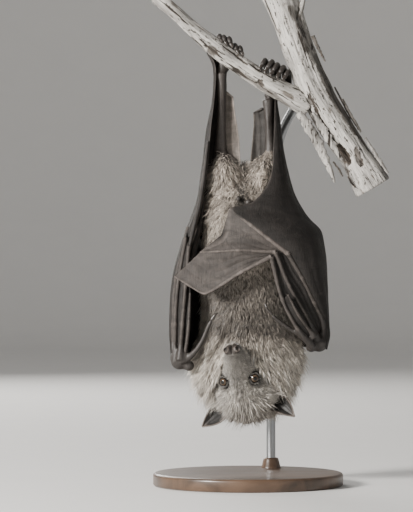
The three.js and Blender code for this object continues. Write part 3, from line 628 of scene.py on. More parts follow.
def distance_to_ear(local):
    """Distance from the lower half of the nearer ear's middle line, in the head's frame."""
    gaps = []
    for side in SIDES:
        foot, tip = (mirror_x(EAR[k], side) for k in ("base", "tip"))
        run = tip - foot
        share = np.clip((local - foot) @ run / (run @ run), 0, 0.5)
        gaps.append(np.linalg.norm(local - foot - share[:, None] * run, axis=1))
    return np.minimum.reduce(gaps)


def nostril_hole(side):
    """Middle and outward direction of one nostril, in the head's frame."""
    out = unit(mirror_x(NOSTRIL["out"], side))
    return mirror_x(NOSTRIL["at"], side) + out * NOSTRIL["radius"], out


# ---- Materials -------------------------------------------------------------------------------

def scaled(shade, factor):
    """A colour made lighter or darker."""
    return tuple(min(1, k * factor) for k in shade)


class Nodes:
    """Builds one node material."""

    def __init__(self, name):
        self.material = bpy.data.materials.new(name)
        self.material.use_nodes = True
        self.tree = self.material.node_tree
        self.shader = self.tree.nodes["Principled BSDF"]
        self.where = self.tree.nodes.new("ShaderNodeTexCoord").outputs["Object"]

    def plug(self, socket, value):
        """Links another socket, or sets a plain value."""
        if isinstance(value, bpy.types.NodeSocket):
            self.tree.links.new(value, socket)
        else:
            socket.default_value = value

    def add(self, kind, inputs=None, **settings):
        node = self.tree.nodes.new(kind)
        for key, value in settings.items():
            setattr(node, key, value)
        for key, value in (inputs or {}).items():
            self.plug(node.inputs[key], value)
        return node

    def noise(self, scale, detail, roughness=0.55, stretch=None, distortion=0.0):
        where = self.where
        if stretch:
            where = self.add("ShaderNodeMapping", {"Vector": where, "Scale": stretch}).outputs[0]
        made = self.add("ShaderNodeTexNoise", {"Vector": where, "Scale": scale, "Detail": detail,
                                               "Roughness": roughness, "Distortion": distortion})
        return made.outputs["Fac"]

    def ramp(self, fac, stops):
        node = self.add("ShaderNodeValToRGB", {"Fac": fac})
        ramp = node.color_ramp
        while len(ramp.elements) < len(stops):
            ramp.elements.new(0.5)
        for element, (at, value) in zip(ramp.elements, stops):
            element.position = at
            element.color = (*value, 1) if np.ndim(value) else (value, value, value, 1)
        return node.outputs["Color"]

    def mix(self, fac, a, b, blend="MIX"):
        node = self.add("ShaderNodeMix", {"Factor": fac}, data_type="RGBA", blend_type=blend)
        for socket, value in ((node.inputs[6], a), (node.inputs[7], b)):
            self.plug(socket, value if isinstance(value, bpy.types.NodeSocket) else (*value, 1))
        return node.outputs[2]

    def attribute(self, name, output="Color"):
        return self.add("ShaderNodeAttribute", attribute_name=name).outputs[output]

    def share(self, mask, factor):
        return self.add("ShaderNodeMath", {0: mask, 1: factor}, operation="MULTIPLY").outputs[0]

    def bump(self, height, strength, distance, under=None):
        inputs = {"Height": height, "Strength": strength, "Distance": distance}
        if under is not None:
            inputs["Normal"] = under
        return self.add("ShaderNodeBump", inputs).outputs[0]

    def finish(self, base, roughness, normal=None, **plain):
        self.plug(self.shader.inputs["Base Color"], base)
        self.plug(self.shader.inputs["Roughness"], roughness)
        if normal is not None:
            self.plug(self.shader.inputs["Normal"], normal)
        for key, value in plain.items():
            self.shader.inputs[key.replace("_", " ")].default_value = value
        return self.material


def fur_material(name):
    m = Nodes(name)
    mottle = m.ramp(m.noise(260, 3), [(0.3, 0.82), (0.7, 1.12)])
    base = m.mix(1.0, m.attribute("tint"), mottle, "MULTIPLY")
    return m.finish(base, m.ramp(m.noise(700, 2), [(0.3, 0.5), (0.7, 0.72)]), Sheen_Weight=0.25,
                    Sheen_Roughness=0.45, Specular_IOR_Level=0.35)


def skin_material(name):
    m = Nodes(name)
    grain = m.noise(900, 5)
    folds = m.noise(240, 3, stretch=(1.0, 1.0, 0.35))
    base = m.mix(1.0, m.attribute("tint"), m.ramp(grain, [(0.3, 0.72), (0.75, 1.35)]), "MULTIPLY")
    normal = m.bump(grain, 0.5, 0.0004, m.bump(folds, 0.5, 0.0008))
    return m.finish(base, m.ramp(grain, [(0.3, 0.42), (0.7, 0.62)]), normal, Specular_IOR_Level=0.45)


def membrane_material(name):
    m = Nodes(name)
    crease = m.noise(520, 6, 0.65, stretch=(1.6, 1.0, 0.28), distortion=0.4)
    vein = m.noise(95, 4, 0.6, stretch=(0.7, 1.0, 1.5), distortion=1.2)
    dust = m.noise(60, 5)
    shade = m.ramp(vein, [(0.32, 0.62), (0.68, 1.35)])
    base = m.mix(1.0, m.attribute("tint"), shade, "MULTIPLY")
    base = m.mix(1.0, base, m.ramp(crease, [(0.3, 0.7), (0.7, 1.3)]), "MULTIPLY")
    base = m.mix(m.ramp(dust, [(0.50, 0.0), (0.80, 0.22)]), base, scaled(colours().wing, 3.0))
    normal = m.bump(crease, 0.8, 0.0006, m.bump(vein, 0.45, 0.0010))
    return m.finish(base, m.ramp(crease, [(0.3, 0.52), (0.7, 0.74)]), normal, Specular_IOR_Level=0.28)


def eye_material(name):
    iris = colours().iris
    m = Nodes(name)
    pupil, rim = (0.001, 0.001, 0.001), (0.008, 0.006, 0.005)
    rings = m.ramp(m.attribute("from_axis", "Fac"),
                   [(0.0, pupil), (0.165, pupil), (0.185, scaled(iris, 0.7)), (0.28, scaled(iris, 1.3)),
                    (0.36, scaled(iris, 0.6)), (0.40, rim)])
    base = m.mix(1.0, rings, m.ramp(m.noise(2600, 3), [(0.3, 0.7), (0.7, 1.3)]), "MULTIPLY")
    return m.finish(base, 0.12, Coat_Weight=0.35, Coat_Roughness=0.02, Specular_IOR_Level=0.3)


def claw_material(name):
    horn = tuple(colours().claw)
    m = Nodes(name)
    rings = m.noise(1500, 4, stretch=(1, 1, 2.5))
    base = m.mix(rings, horn, scaled(horn, 3.2))
    return m.finish(base, 0.28, m.bump(rings, 0.25, 0.0003), Coat_Weight=0.3, Coat_Roughness=0.15)


def wood_material(name):
    wood, bark = tuple(colours().wood), tuple(colours().bark)
    m = Nodes(name)
    m.where = m.attribute("grain", "Vector")

    def grained(scale, across, detail, distortion=0.0):
        return m.noise(scale, detail, 0.6, (across, across, 1.0), distortion)

    streak = grained(0.05, 12.0, 6.0, 0.3)
    soft = grained(0.03, 3.0, 4.0)
    crack = m.ramp(grained(0.028, 9.0, 3.0, 0.25), [(0.37, 0.0), (0.395, 1.0)])
    pit = m.ramp(grained(0.20, 2.4, 2.0), [(0.625, 0.0), (0.65, 1.0)])
    remains = m.ramp(grained(0.055, 2.6, 5.0), [(0.60, 0.0), (0.64, 1.0)])
    rough = m.ramp(grained(0.12, 5.0, 5.0, 0.4), [(0.38, 0.0), (0.62, 1.0)])
    black = scaled(bark, 0.5)
    base = m.mix(m.ramp(streak, [(0.3, 0.0), (0.6, 1.0)]), scaled(wood, 0.72), scaled(wood, 1.25))
    base = m.mix(1.0, base, m.ramp(soft, [(0.36, 0.50), (0.56, 1.0)]), "MULTIPLY")
    base = m.mix(m.share(remains, 0.8), base, scaled(bark, 1.8))
    base = m.mix(m.share(pit, 0.95), base, black)
    base = m.mix(crack, black, base)
    # The dark marks of the wood, which also paint the shade along the main limb's right edge.
    scar = m.mix(rough, scaled(bark, 0.35), scaled(bark, 1.5))
    base = m.mix(m.attribute("dark", "Fac"), base, scar)
    carved = m.bump(crack, 0.8, 0.0012, m.bump(pit, -0.8, 0.0010))
    normal = m.bump(streak, 0.45, 0.0010, m.bump(rough, 0.5, 0.0008, carved))
    return m.finish(base, m.ramp(streak, [(0.3, 0.88), (0.7, 0.7)]), normal, Specular_IOR_Level=0.3)


def base_material(name):
    wood = tuple(colours().base)
    m = Nodes(name)
    grain = m.noise(38, 6, 0.6, stretch=(0.18, 2.4, 1.0), distortion=0.5)
    pores = m.noise(420, 3, stretch=(0.1, 2.5, 1.0))
    base = m.mix(m.ramp(grain, [(0.32, 0.0), (0.68, 1.0)]), scaled(wood, 0.6), scaled(wood, 1.7))
    rough = m.ramp(grain, [(0.3, 0.32), (0.7, 0.46)])
    return m.finish(base, rough, m.bump(pores, 0.2, 0.0003), Coat_Weight=0.25, Coat_Roughness=0.2)


def rod_material(name):
    steel = tuple(colours().rod)
    m = Nodes(name)
    brush = m.noise(800, 4, stretch=(1, 1, 0.05))
    base = m.mix(brush, scaled(steel, 0.8), scaled(steel, 1.15))
    rough = m.ramp(brush, [(0.3, 0.26), (0.7, 0.42)])
    return m.finish(base, rough, m.bump(brush, 0.15, 0.0002), Metallic=1.0)


def plaster_material(name, value):
    m = Nodes(name)
    base = m.mix(m.noise(14, 5), scaled(value, 0.97), scaled(value, 1.02))
    return m.finish(base, 0.8, m.bump(m.noise(900, 3), 0.05, 0.0002))


# ---- Skin ------------------------------------------------------------------------------------

def roost_at(x, count=400):
    """Middle and radius of the roosting limb at a given x."""
    path = curve(ROOST_LIMB, count)
    i = int(np.argmax(path[:, 0] >= x))
    return path[i], spread(ROOST_RADII, count)[i]


def toe_path(side, number):
    """From behind the limb, over it, to the root of the claw."""
    top, reach = TOES[side][number]
    top = arr(top)
    middle, radius = roost_at(top[0])
    behind = middle + arr((1.6, radius + 2.6, 1.0))
    shoulder = arr((top[0] + 1.0, radius * 0.75, top[2] - 2.2))
    return [behind, shoulder, top, top + arr(HOOK[side][0]) * reach, top + arr(HOOK[side][1]) * reach]


def claw_path(side, number):
    top, reach = TOES[side][number]
    return [arr(top) + arr(step) * reach for step in HOOK[side][1:]]


def sole_path(side):
    ankle = arr(ANKLE[side])
    middle, radius = roost_at(TOES[side][2][0][0])
    behind = middle + arr((0, radius + 4.2, 2))
    return [ankle, (ankle + behind) / 2 + arr((0, (behind[1] - ankle[1]) / 2 + 0.6, 0)), behind]


def in_region(region, *names):
    return np.isin(region, [REGIONS.index(name) for name in names])


def arm_parts(side):
    """Arm, wrist and thumb of one side, as (region, piece) pairs."""
    elbow, wrist, shoulder = arr(ELBOW[side]), arr(WRIST[side]), arr(SHOULDER[side])
    middle = arr(((shoulder[0] + elbow[0]) / 2, 34, 168))
    bow = (elbow + wrist) / 2 + arr((1.6 * SIGN[side], 0, 0))
    yield "arm", bar([shoulder, middle, elbow], [r - UPPER_ARM_INSET for r in UPPER_ARM_RADII], 20, 20)
    yield "forearm", bar([elbow, bow, wrist], FOREARM_RADII, 40, 18)
    yield "thumb", bar(THUMB[side], THUMB_RADII, 26, 14, round_ends=True)
    for centre, radii in WRIST_LUMPS[side]:
        yield "wrist", ball(centre, radii)
    for path, _ in FINGERS[side].values():
        start = curve(path, 60)[:11:5]
        yield "wrist", bar(start, [3.4, 2.5, 1.5], 12, 12)


def leg_parts(side):
    """Thigh, shank with the ridge of its shin, and sole of one side, as (region, piece) pairs."""
    stations = [(*point, *radii) for point, radii in zip(THIGH[side], THIGH_RADII)]
    yield "thigh", loft(stations, 30, 32, XY, THIGH_INSET)
    yield "shank", bar(SHANK[side], SHANK_RADII, 40, 16)
    yield "shank", bar(arr(SHANK[side])[1:] + arr((-0.9, -2.7, 0)), [1.2, 1.5, 1.2], 30, 10)
    yield "foot", bar(sole_path(side), [4, 5.4, 6.0], 16, 16, flat=0.62)


def skin_parts():
    """The flesh in overlapping closed pieces: {region: [(vertices, faces)]}."""
    depth = sizes().coat_depth / MM
    trunk = loft(TRUNK, 90, 72, XY, [depth * share for share in TRUNK_INSET])
    skull, faces = loft(SKULL, 70, 60, XZ, HEAD_INSET)
    pairs = [("trunk", trunk), ("trunk", ball(*RUMP_FILL)), ("head", (from_head(skull), faces))]
    for side in SIDES:
        nose = mirror_x(NOSTRIL["at"], side) - arr((0, 0.4, 0))
        pairs.append(("nose", ball(from_head([nose])[0], (NOSTRIL["radius"],) * 3)))
        pairs.append(("head", ball(from_head([orbit(side)])[0], (ORBIT_RADIUS,) * 3)))
        pairs += [*arm_parts(side), *leg_parts(side)]
    pairs += [("foot", ball(centre, radii)) for centre, radii in BARE_BUMPS]
    return {region: [piece for name, piece in pairs if name == region] for region in REGIONS}


def toes_mesh(side, count=44, sides=16):
    """Five sausage-like toes with slight joints."""
    run = np.linspace(0, 1, count)
    joints = 1 + 0.07 * bell(run, 0.56, 0.07) - 0.05 * bell(run, 0.75, 0.05)
    radius = spread(TOE_RADII, count) * joints
    radius = radius * np.sqrt(1 - np.clip((run - 0.92) / 0.085, 0, 0.995) ** 2)
    toes = [tube(curve(toe_path(side, number), count), radius, sides) for number in range(5)]
    verts, faces = merge(toes)
    return verts, faces, np.ones(len(verts))


def ball(centre, radii, sides=24, rings=14):
    tilt = np.linspace(0.04, math.pi - 0.04, rings)[:, None]
    turn = full_turn(sides)[None]
    x, y = np.sin(tilt) * np.cos(turn), np.sin(tilt) * np.sin(turn)
    z = np.cos(tilt) * np.ones_like(turn)
    return skin_rings(arr(centre) + np.stack([x, y, z], -1) * arr(radii))


def point_tree(points):
    tree = kdtree.KDTree(len(points))
    for i, point in enumerate(points):
        tree.insert(point, i)
    tree.balance()
    return tree


def region_tree(parts):
    """A search tree over the source pieces, and the region of each of its points."""
    points, labels = [], []
    for index, region in enumerate(REGIONS):
        for verts, _ in parts[region]:
            points.append(verts)
            labels += [index] * len(verts)
    return point_tree(np.vstack(points)), arr(labels).astype(int)


def nearest(tree, points):
    return arr([tree.find(p)[1] for p in points]).astype(int)


def refine(obj, chosen_of):
    """Splits the faces in a chosen part, so that it can take fine forms."""
    edit = bmesh.new()
    edit.from_mesh(obj.data)
    chosen = chosen_of(to_head(arr([v.co for v in edit.verts]) / MM))
    near = [f for f in edit.faces if all(chosen[v.index] for v in f.verts)]
    edges = list({e for f in near for e in f.edges})
    bmesh.ops.subdivide_edges(edit, edges=edges, cuts=1, use_grid_fill=True)
    edit.to_mesh(obj.data)
    edit.free()


def on_face(local):
    return (local[:, 1] > -9) & (local[:, 2] > -17) & (np.abs(local[:, 0]) < 20)


def on_features(local):
    return (distance_to_eye(local) < 8.5) | ((local[:, 1] > 26) & on_face(local))


def lid_form(local, side):
    """Moves skin round one eye: two lids with a thick margin, the opening between, and a fold beyond."""
    centre, out, corner, up = eye_frame(side)
    away = local - centre
    radius = np.linalg.norm(away, axis=1)
    ahead = away @ out
    a = EYE["radius"] * np.arctan2(away @ corner, np.maximum(ahead, 0.01))
    b = EYE["radius"] * np.arctan2(away @ up, np.maximum(ahead, 0.01))
    narrow = 1 - 0.5 * np.clip((a / 5.6) ** 2, 0, 1)
    gape = np.sqrt((a / 5.5) ** 2 + (b / (3.7 * narrow)) ** 2)
    inside = smoothstep(0.90, 1.04, gape)
    target = EYE["radius"] - 1.3 + inside * 1.95 + 0.35 * bell(gape, 1.10, 0.09)
    crease = 0.5 * bell(gape, 1.45, 0.12)
    facing = (ahead > 0) * (radius < 11)
    weight = (1 - smoothstep(1.4, 2.2, gape)) * facing
    moved = radius + (target - radius) * weight - crease * facing
    return centre + away * (moved / np.maximum(radius, 1e-6))[:, None]


def muzzle_form(local):
    """Moves skin to make the mouth line, the lip, the nostrils and the groove between them."""
    moved = local.copy()
    side, fore, high = np.abs(local[:, 0]), local[:, 1], local[:, 2]
    centre = np.stack([np.zeros_like(side), np.minimum(fore, 26), np.full_like(side, -7.4)], 1)
    line = -10.6 - 0.9 * smoothstep(20, 29, fore) + 1.6 * smoothstep(12, 2, fore)
    above = high - line
    mouth = bell(above, 0, 0.55) * smoothstep(0, 5, fore) * (high < -6)
    lip = bell(above, 1.5, 0.9) * smoothstep(2, 8, fore)
    groove = bell(side, 0, 0.7) * smoothstep(28.0, 30.0, fore)
    moved -= unit(local - centre) * (0.95 * mouth - 0.35 * lip + 1.3 * groove)[:, None]
    for s in SIDES:
        hole, facing = nostril_hole(s)
        slit = unit(mirror_x((0.55, -0.55, 0.62), s))
        run = np.clip((local - hole) @ slit, -0.2, 1.5)
        gap = np.linalg.norm(local - hole - run[:, None] * slit, axis=1)
        moved -= facing * (2.9 * bell(gap, 0, NOSTRIL["hole"]))[:, None]
        moved += facing * (0.55 * bell(gap, 1.75, 0.5))[:, None]
    return moved


def sculpt_head(obj):
    verts = vertices_of(obj)
    local = to_head(verts)
    near = np.linalg.norm(local - arr((0, 8, -4)), axis=1) < 34
    part = muzzle_form(local[near])
    for side in SIDES:
        part = lid_form(part, side)
    verts[near] = from_head(part)
    set_vertices(obj, verts)


def relax(obj, repeats):
    smooth = obj.modifiers.new("relax", "SMOOTH")
    smooth.factor, smooth.iterations = 0.5, repeats
    apply_modifiers(obj)


def joined_skin():
    """The flesh in one piece, its face refined and shaped: (vertices, faces, regions)."""
    parts = skin_parts()
    obj = mesh_object("body_skin", *merge([piece for pieces in parts.values() for piece in pieces]))
    remesh = obj.modifiers.new("join", "REMESH")
    remesh.mode, remesh.voxel_size, remesh.use_smooth_shade = "VOXEL", sizes().skin_voxel, True
    relax(obj, 5)
    refine(obj, on_face)
    relax(obj, 3)
    refine(obj, on_features)
    sculpt_head(obj)
    verts = vertices_of(obj)
    faces = [list(p.vertices) for p in obj.data.polygons]
    bpy.data.objects.remove(obj)
    tree, labels = region_tree(parts)
    return verts, faces, labels[nearest(tree, verts)]


def ear_mesh(side, rows=44, columns=30, wall=0.8):
    """A pointed, cupped leaf with a rolled edge and ribs inside: (vertices, faces, tone)."""
    foot, tip = (mirror_x(EAR[k], side) for k in ("base", "tip"))
    up = unit(tip - foot)
    facing = mirror_x(EAR["facing"], side)
    facing = unit(facing - up * (facing @ up))
    across = np.cross(up, facing)
    run, c = np.linspace(-0.1, 1, rows)[:, None], np.linspace(-1, 1, columns)[None]
    s = np.maximum(run, 0.0)
    wide = EAR["width"] * (1 - s**2.8) * (0.86 + 0.8 * s * (1 - s)) + 0.3
    cup = 3.4 * c**2 * (1 - s) ** 0.7 - 2.2 * (1 - s) + 0.8 * c**4
    ribs = 0.14 * np.cos(11 * c) * (1 - c * c) * smoothstep(0.0, 0.3, s)
    belly = 1.6 * np.sin(np.pi * s) * np.sign(across[0])
    reach = wide * c * (1 - 0.12 * c * c) + belly
    grid = foot + (tip - foot) * run[..., None] + across * reach[..., None] + facing * (cup + ribs)[..., None]
    # Painted shade inside the hollow and a painted highlight along the rim; paler towards the tip and on the
    # back.
    tone = EAR_TONES["inside"] + EAR_TONES["rim"] * smoothstep(0.70, 1.0, np.abs(c))
    tone = tone + EAR_TONES["tip"] * smoothstep(0.75, 1.0, run)
    both = np.concatenate([np.full_like(tone, EAR_TONES["back"]), tone[:, ::-1]], axis=1).ravel()
    verts, faces = sheet(grid, wall)
    return from_head(verts), faces, np.concatenate([both, [1.0, 1.0]])


def face_shade(local, broad):
    """Root and tip colour of the fur on the head, at points in its frame."""
    face = arr(tuple(colours().face))
    side, fore, high = (local[:, k:k + 1] for k in range(3))
    dark_eye = smoothstep(8.0, 5.7, distance_to_eye(local, (1, 0.85, 1)))[:, None]
    # Painted shade along the top of the muzzle.
    bridge_shade = bell(side, 0, 3.6) * smoothstep(-10, 6, fore)
    streak = bell(np.abs(side), 4.6, 2.4) * smoothstep(-26, -8, fore) * smoothstep(8, -2, fore)
    chin = smoothstep(-9, -12, high) * smoothstep(4, 12, fore)
    muzzle = smoothstep(16, 29, fore) * (1 - chin)
    flank = smoothstep(6, 14, np.abs(side))
    tips = face * (0.82 + 0.25 * broad + 0.5 * streak + 0.3 * chin + 0.25 * flank - 0.34 * bridge_shade)
    tips = tips * (1 - 0.6 * dark_eye) * (1 - 0.55 * muzzle)
    return face * 0.3 * (1 - 0.6 * dark_eye) * (1 - 0.4 * muzzle), tips


def fur_shade(points, region):
    """Root and tip colour of the coat at each point: the markings, and painted shade, that skin and tufts
    share.
    """
    c = colours()
    root, tip, ruff = (arr(tuple(v)) for v in (c.fur_root, c.fur_tip, c.ruff))
    broad = ripple(points, 15.0, 3.1)[:, None]
    side, depth, height = (points[:, k:k + 1] for k in range(3))
    chest = smoothstep(112, 124, height) * smoothstep(176, 160, height) * smoothstep(10, -12, depth)
    # Painted shade in the cleft between the thighs and in the crotch.
    cleft_shade = bell(side, -3.2, 3.0) * smoothstep(208, 222, height)
    pouch = bell(side, -3.6, 7.5) * bell(height, 220, 5.0)
    cleft_shade = np.maximum(cleft_shade, pouch) * smoothstep(16, 0, depth)
    neck = smoothstep(122, 104, height)
    tips = tip * (1 + 0.28 * broad) * (1 - 0.60 * chest) * (1 - 0.88 * cleft_shade)
    tips = blend(tips, ruff * (1 + 0.15 * broad), neck)
    roots = root * (1 - 0.3 * chest) * (1 - 0.8 * cleft_shade)
    roots = blend(roots, ruff * 0.14, neck * 0.7)
    local = to_head(points)
    on_head = (in_region(region, "head") * smoothstep(-40, -28, local[:, 1]))[:, None]
    face_roots, face_tips = face_shade(local, broad)
    return blend(roots, face_roots, on_head), blend(tips, face_tips, on_head)


def skin_shade(points, region):
    """Colour of the skin at each point: bare, or the foot of the coat where it is furred, with painted shade
    deep in the nostrils.
    """
    wing, bare = (arr(tuple(v)) for v in (colours().wing, colours().bare))
    bare = np.where(in_region(region, "arm", "forearm", "wrist", "thumb")[:, None], wing * 2.0, bare)
    bare = np.where(in_region(region, "shank")[:, None], wing * 2.4, bare)
    roots, tips = fur_shade(points, region)
    mixed = blend(bare, roots * 0.75 + tips * 0.25, in_region(region, *FURRED)[:, None])
    local = to_head(points)
    side, fore, high = np.abs(local[:, 0]), local[:, 1], local[:, 2]
    gaps = [np.linalg.norm(local - hole + out * 0.6, axis=1) for hole, out in map(nostril_hole, SIDES)]
    hole = np.minimum.reduce(gaps)
    lids = smoothstep(6.2, 5.7, distance_to_eye(local))
    lips = bell(high, -10.6, 1.1) * smoothstep(4, 9, fore) * (side < 12)
    pad = smoothstep(27.6, 29.6, fore) * (side < 9)
    rim = bell(hole, 2.6, 0.45)
    # Painted shade deep in each nostril.
    deep = smoothstep(2.0, 1.3, hole)
    for mask, tone in ((lids, 0.45), (lips, 0.7), (pad, 1.5), (rim, 5.0), (deep, 0.08)):
        mixed = blend(mixed, bare * tone, mask[:, None])
    return mixed


# ---- Sheets ----------------------------------------------------------------------------------

def grid_normals(grid):
    return unit(np.cross(np.gradient(grid, axis=0), np.gradient(grid, axis=1)))


def sheet(grid, thickness):
    """A closed sheet over a grid of points: (vertices, faces)."""
    half = grid_normals(grid) * thickness / 2
    return skin_rings(np.concatenate([grid + half, (grid - half)[:, ::-1]], axis=1))


def bezier(a, b, c, t):
    return a * (1 - t) ** 2 + 2 * b * t * (1 - t) + c * t**2


def wrap_grid(rows, count, columns):
    """Rows bent round the flank, from the front edge by the side to the back edge."""
    front, side, back = (through([row[k] for row in rows], count)[:, None] for k in range(3))
    t = np.linspace(0, 1, columns)[None, :, None]

    def corner(end):
        made = side.copy()
        made[..., 1] = end[..., 1]
        made[..., 2] = (side[..., 2] + end[..., 2]) / 2
        return made

    first = bezier(front, corner(front), side, t)
    second = bezier(side, corner(back), back, t[:, 1:])
    return np.concatenate([first, second], axis=1)


def web_grid(bar_a, bar_b, count, columns, sag, edge=None):
    """Rows straight from one finger to the next, hollowed to the back, with a hollow free edge."""
    a, b = curve(bar_a, count)[:, None], curve(bar_b, count)[:, None]
    t = np.linspace(0, 1, columns)[None, :, None]
    v = np.linspace(0, 1, count)[:, None, None]
    grid = a + (b - a) * t
    grid[..., 1] += sag * np.sin(np.pi * t[..., 0])
    if edge is not None:
        grid += (curve(edge, columns)[None] - (a[-1:] + (b[-1:] - a[-1:]) * t)) * v**2.5
    return grid


def ruffle(grid, amount, waves, seed, edge_hold=True):
    """Creased folds that run down the rows of a sheet, with finer crinkles between."""
    rows, columns = grid.shape[:2]
    u = np.linspace(0, 1, columns)[None]
    v = np.linspace(0, 1, rows)[:, None]
    flat = grid.reshape(-1, 3)
    wander = ripple(flat, 26.0, seed).reshape(rows, columns)
    crinkle = ripple(flat * arr((1, 1, 0.35)), 2.4, seed + 5).reshape(rows, columns)
    phase = np.pi * waves * u + 1.8 * wander + 0.8 * v
    height = amount * (1.3 * np.abs(np.sin(phase)) - 0.7 + 0.30 * crinkle + 0.4 * wander)
    if edge_hold:
        height = height * np.minimum(1, 6 * np.minimum(u, 1 - u))
    return grid + grid_normals(grid) * height[..., None]


def fold_grid(points, width, rows=60, columns=7):
    """A narrow pleat, like a gutter."""
    line = curve(points, rows)
    side = unit(np.cross(unit(np.gradient(line, axis=0)), (0, 1, 0)))
    u = np.linspace(-1, 1, columns)[None, :, None]
    taper = (0.35 + 0.65 * np.sin(math.pi * np.linspace(0.1, 0.9, rows)))[:, None, None]
    return line[:, None] + side[:, None] * u * width / 2 * taper + arr((0, 1.6, 0)) * u**2


def palm_grid(side, first, second, count, columns, sag):
    """Skin between two fingers. On the right side it stops at their knuckles, beyond which the fingers are
    bent back.
    """
    a, b = FINGERS[side][first][0], FINGERS[side][second][0]
    if side == "r":
        a, b = a[:KNUCKLE[first] + 1][::-1], b[:KNUCKLE[second] + 1][::-1]
    return web_grid(a, b, count, columns, sag)


def rimmed(grid, thickness, sides=(1, 1), foot=0.0, pale=1.0):
    """A sheet with the tone of each vertex: a painted highlight along its free edges."""
    rows, columns = grid.shape[:2]
    u, v = np.linspace(0, 1, columns)[None], np.linspace(0, 1, rows)[:, None]
    width = np.linalg.norm(np.diff(grid, axis=1), axis=2).sum(1, keepdims=True)
    length = np.linalg.norm(np.diff(grid, axis=0), axis=2).sum(0, keepdims=True)
    edges = ((sides[0], u * width), (sides[1], (1 - u) * width), (foot, (1 - v) * length))
    near = [share * bell(gap, 0, RIM_WIDTH) for share, gap in edges]
    tone = pale + EDGE_HIGHLIGHT * np.maximum(np.maximum(near[0], near[1]), near[2])
    both = np.concatenate([tone, tone[:, ::-1]], axis=1).ravel()
    return (*sheet(grid, thickness), np.concatenate([both, [1.0, 1.0]]))


def taut(points, reach=2.0):
    """The points with two more close to each corner, so that a curve runs straight between corners."""
    p = arr(points)
    made = [p[0]]
    for before, at, after in zip(p[:-2], p[1:-1], p[2:]):
        made += [at + unit(before - at) * min(reach, 0.3 * np.linalg.norm(before - at)),
                 at + unit(after - at) * min(reach, 0.3 * np.linalg.norm(after - at))]
    return arr(made + [p[-1]])


def wing_sheets(side):
    """The sheets of one wing: grid; height, number and seed of its creases; and how it is rimmed."""
    fingers = FINGERS[side]
    # The tip webs are painted paler, as if lit, with a painted highlight along their free edge.
    plain, thin = {"sides": (0, 0)}, {"sides": (0, 0), "foot": 1, "pale": TIP_LIGHT}
    sheets = [(wrap_grid(CLOAK[side], 190, 50), (0.42, 5, 1.7), {"sides": (1, 0)}),
              (wrap_grid(WING_BACK[side], 70, 20), (0.6, 3, 4.1), plain)]
    if side == "l":
        return sheets + [(palm_grid(side, *pair, 110, 18, 1.6), (0.4, 3, seed), plain)
                         for pair, seed in (((5, 4), 3.3), ((4, 3), 6.1), ((3, 2), 8.8))]
    tips = {k: taut(fingers[k][0][KNUCKLE[k]:]) for k in (3, 4, 5)}
    return sheets + [(web_grid(tips[5], tips[4], 90, 44, 1.2, TIP_EDGE), (0.28, 3, 7.3), thin),
                     (web_grid(tips[4], tips[3], 110, 44, 1.2), (0.30, 4, 9.9), thin),
                     (palm_grid(side, 5, 4, 80, 20, 1.4), (0.4, 3, 12.2), plain),
                     (palm_grid(side, 4, 3, 80, 18, 1.0), (0.35, 2, 15.8), plain),
                     (web_grid(fingers[2][0], fingers[3][0][:3], 40, 12, 1.0), (0.3, 1, 2.2), plain)]


def wing_parts(side):
    """Every sheet and bone of one wing: (vertices, faces, tone)."""
    thick = sizes().wing_thickness / MM
    parts = [rimmed(ruffle(grid, *creases), thick, **rims) for grid, creases, rims in wing_sheets(side)]
    if side == "l":
        parts += [rimmed(fold_grid(points, width), thick) for points, width in FOLDS]
    for number, (path, radii) in FINGERS[side].items():
        radii = arr(radii) * BONE
        bend = KNUCKLE[number] if side == "r" and number in KNUCKLE else len(path) - 1
        parts.append(finger_bone(path[:bend + 1], radii[:bend + 1]))
        if bend < len(path) - 1:
            radii = spread(radii[bend:], 12)
            parts.append(finger_bone(taut(path[bend:]), radii, path[bend:], TIP_BONE_HIGHLIGHT))
    return parts


def finger_bone(path, radii, joints=None, pale=1.0, sides=12):
    """A finger under skin, thicker at each joint, with a painted highlight along it that is stronger at each
    joint: (vertices, faces, tone).
    """
    count = 20 * len(path)
    centre = curve(path, count)
    joints = arr(path if joints is None else joints)[None]
    gap = np.min(np.linalg.norm(centre[:, None] - joints, axis=2), axis=1)
    joint = bell(gap, 0, KNOB_REACH)
    tone = np.repeat(BONE_HIGHLIGHT + (KNOB_HIGHLIGHT - BONE_HIGHLIGHT) * joint, sides)
    tone = np.concatenate([tone, [BONE_HIGHLIGHT] * 2]) * pale
    return (*tube(centre, spread(radii, count) * (1 + KNOB_SWELL * joint), sides), tone)


# ---- Coat ------------------------------------------------------------------------------------

def coat_of(points, region):
    """Index of the coat piece that each root belongs to."""
    names = list(COATS)
    front, high = points[:, 1] < COAT_SPLIT, points[:, 2]
    head = in_region(region, "head")
    which = np.full(len(points), names.index("coat_belly"))
    which[(high < CHEST_TOP) & front] = names.index("coat_chest")
    which[~front] = names.index("coat_back")
    which[(high < NECK_TOP) & front] = names.index("coat_ruff_front")
    which[(high < NECK_TOP) & ~front] = names.index("coat_ruff_back")
    which[in_region(region, "thigh")] = names.index("coat_thighs")
    which[head] = names.index("coat_cheeks")
    which[head & (to_head(points)[:, 1] > FACE_SPLIT)] = names.index("coat_face")
    return which


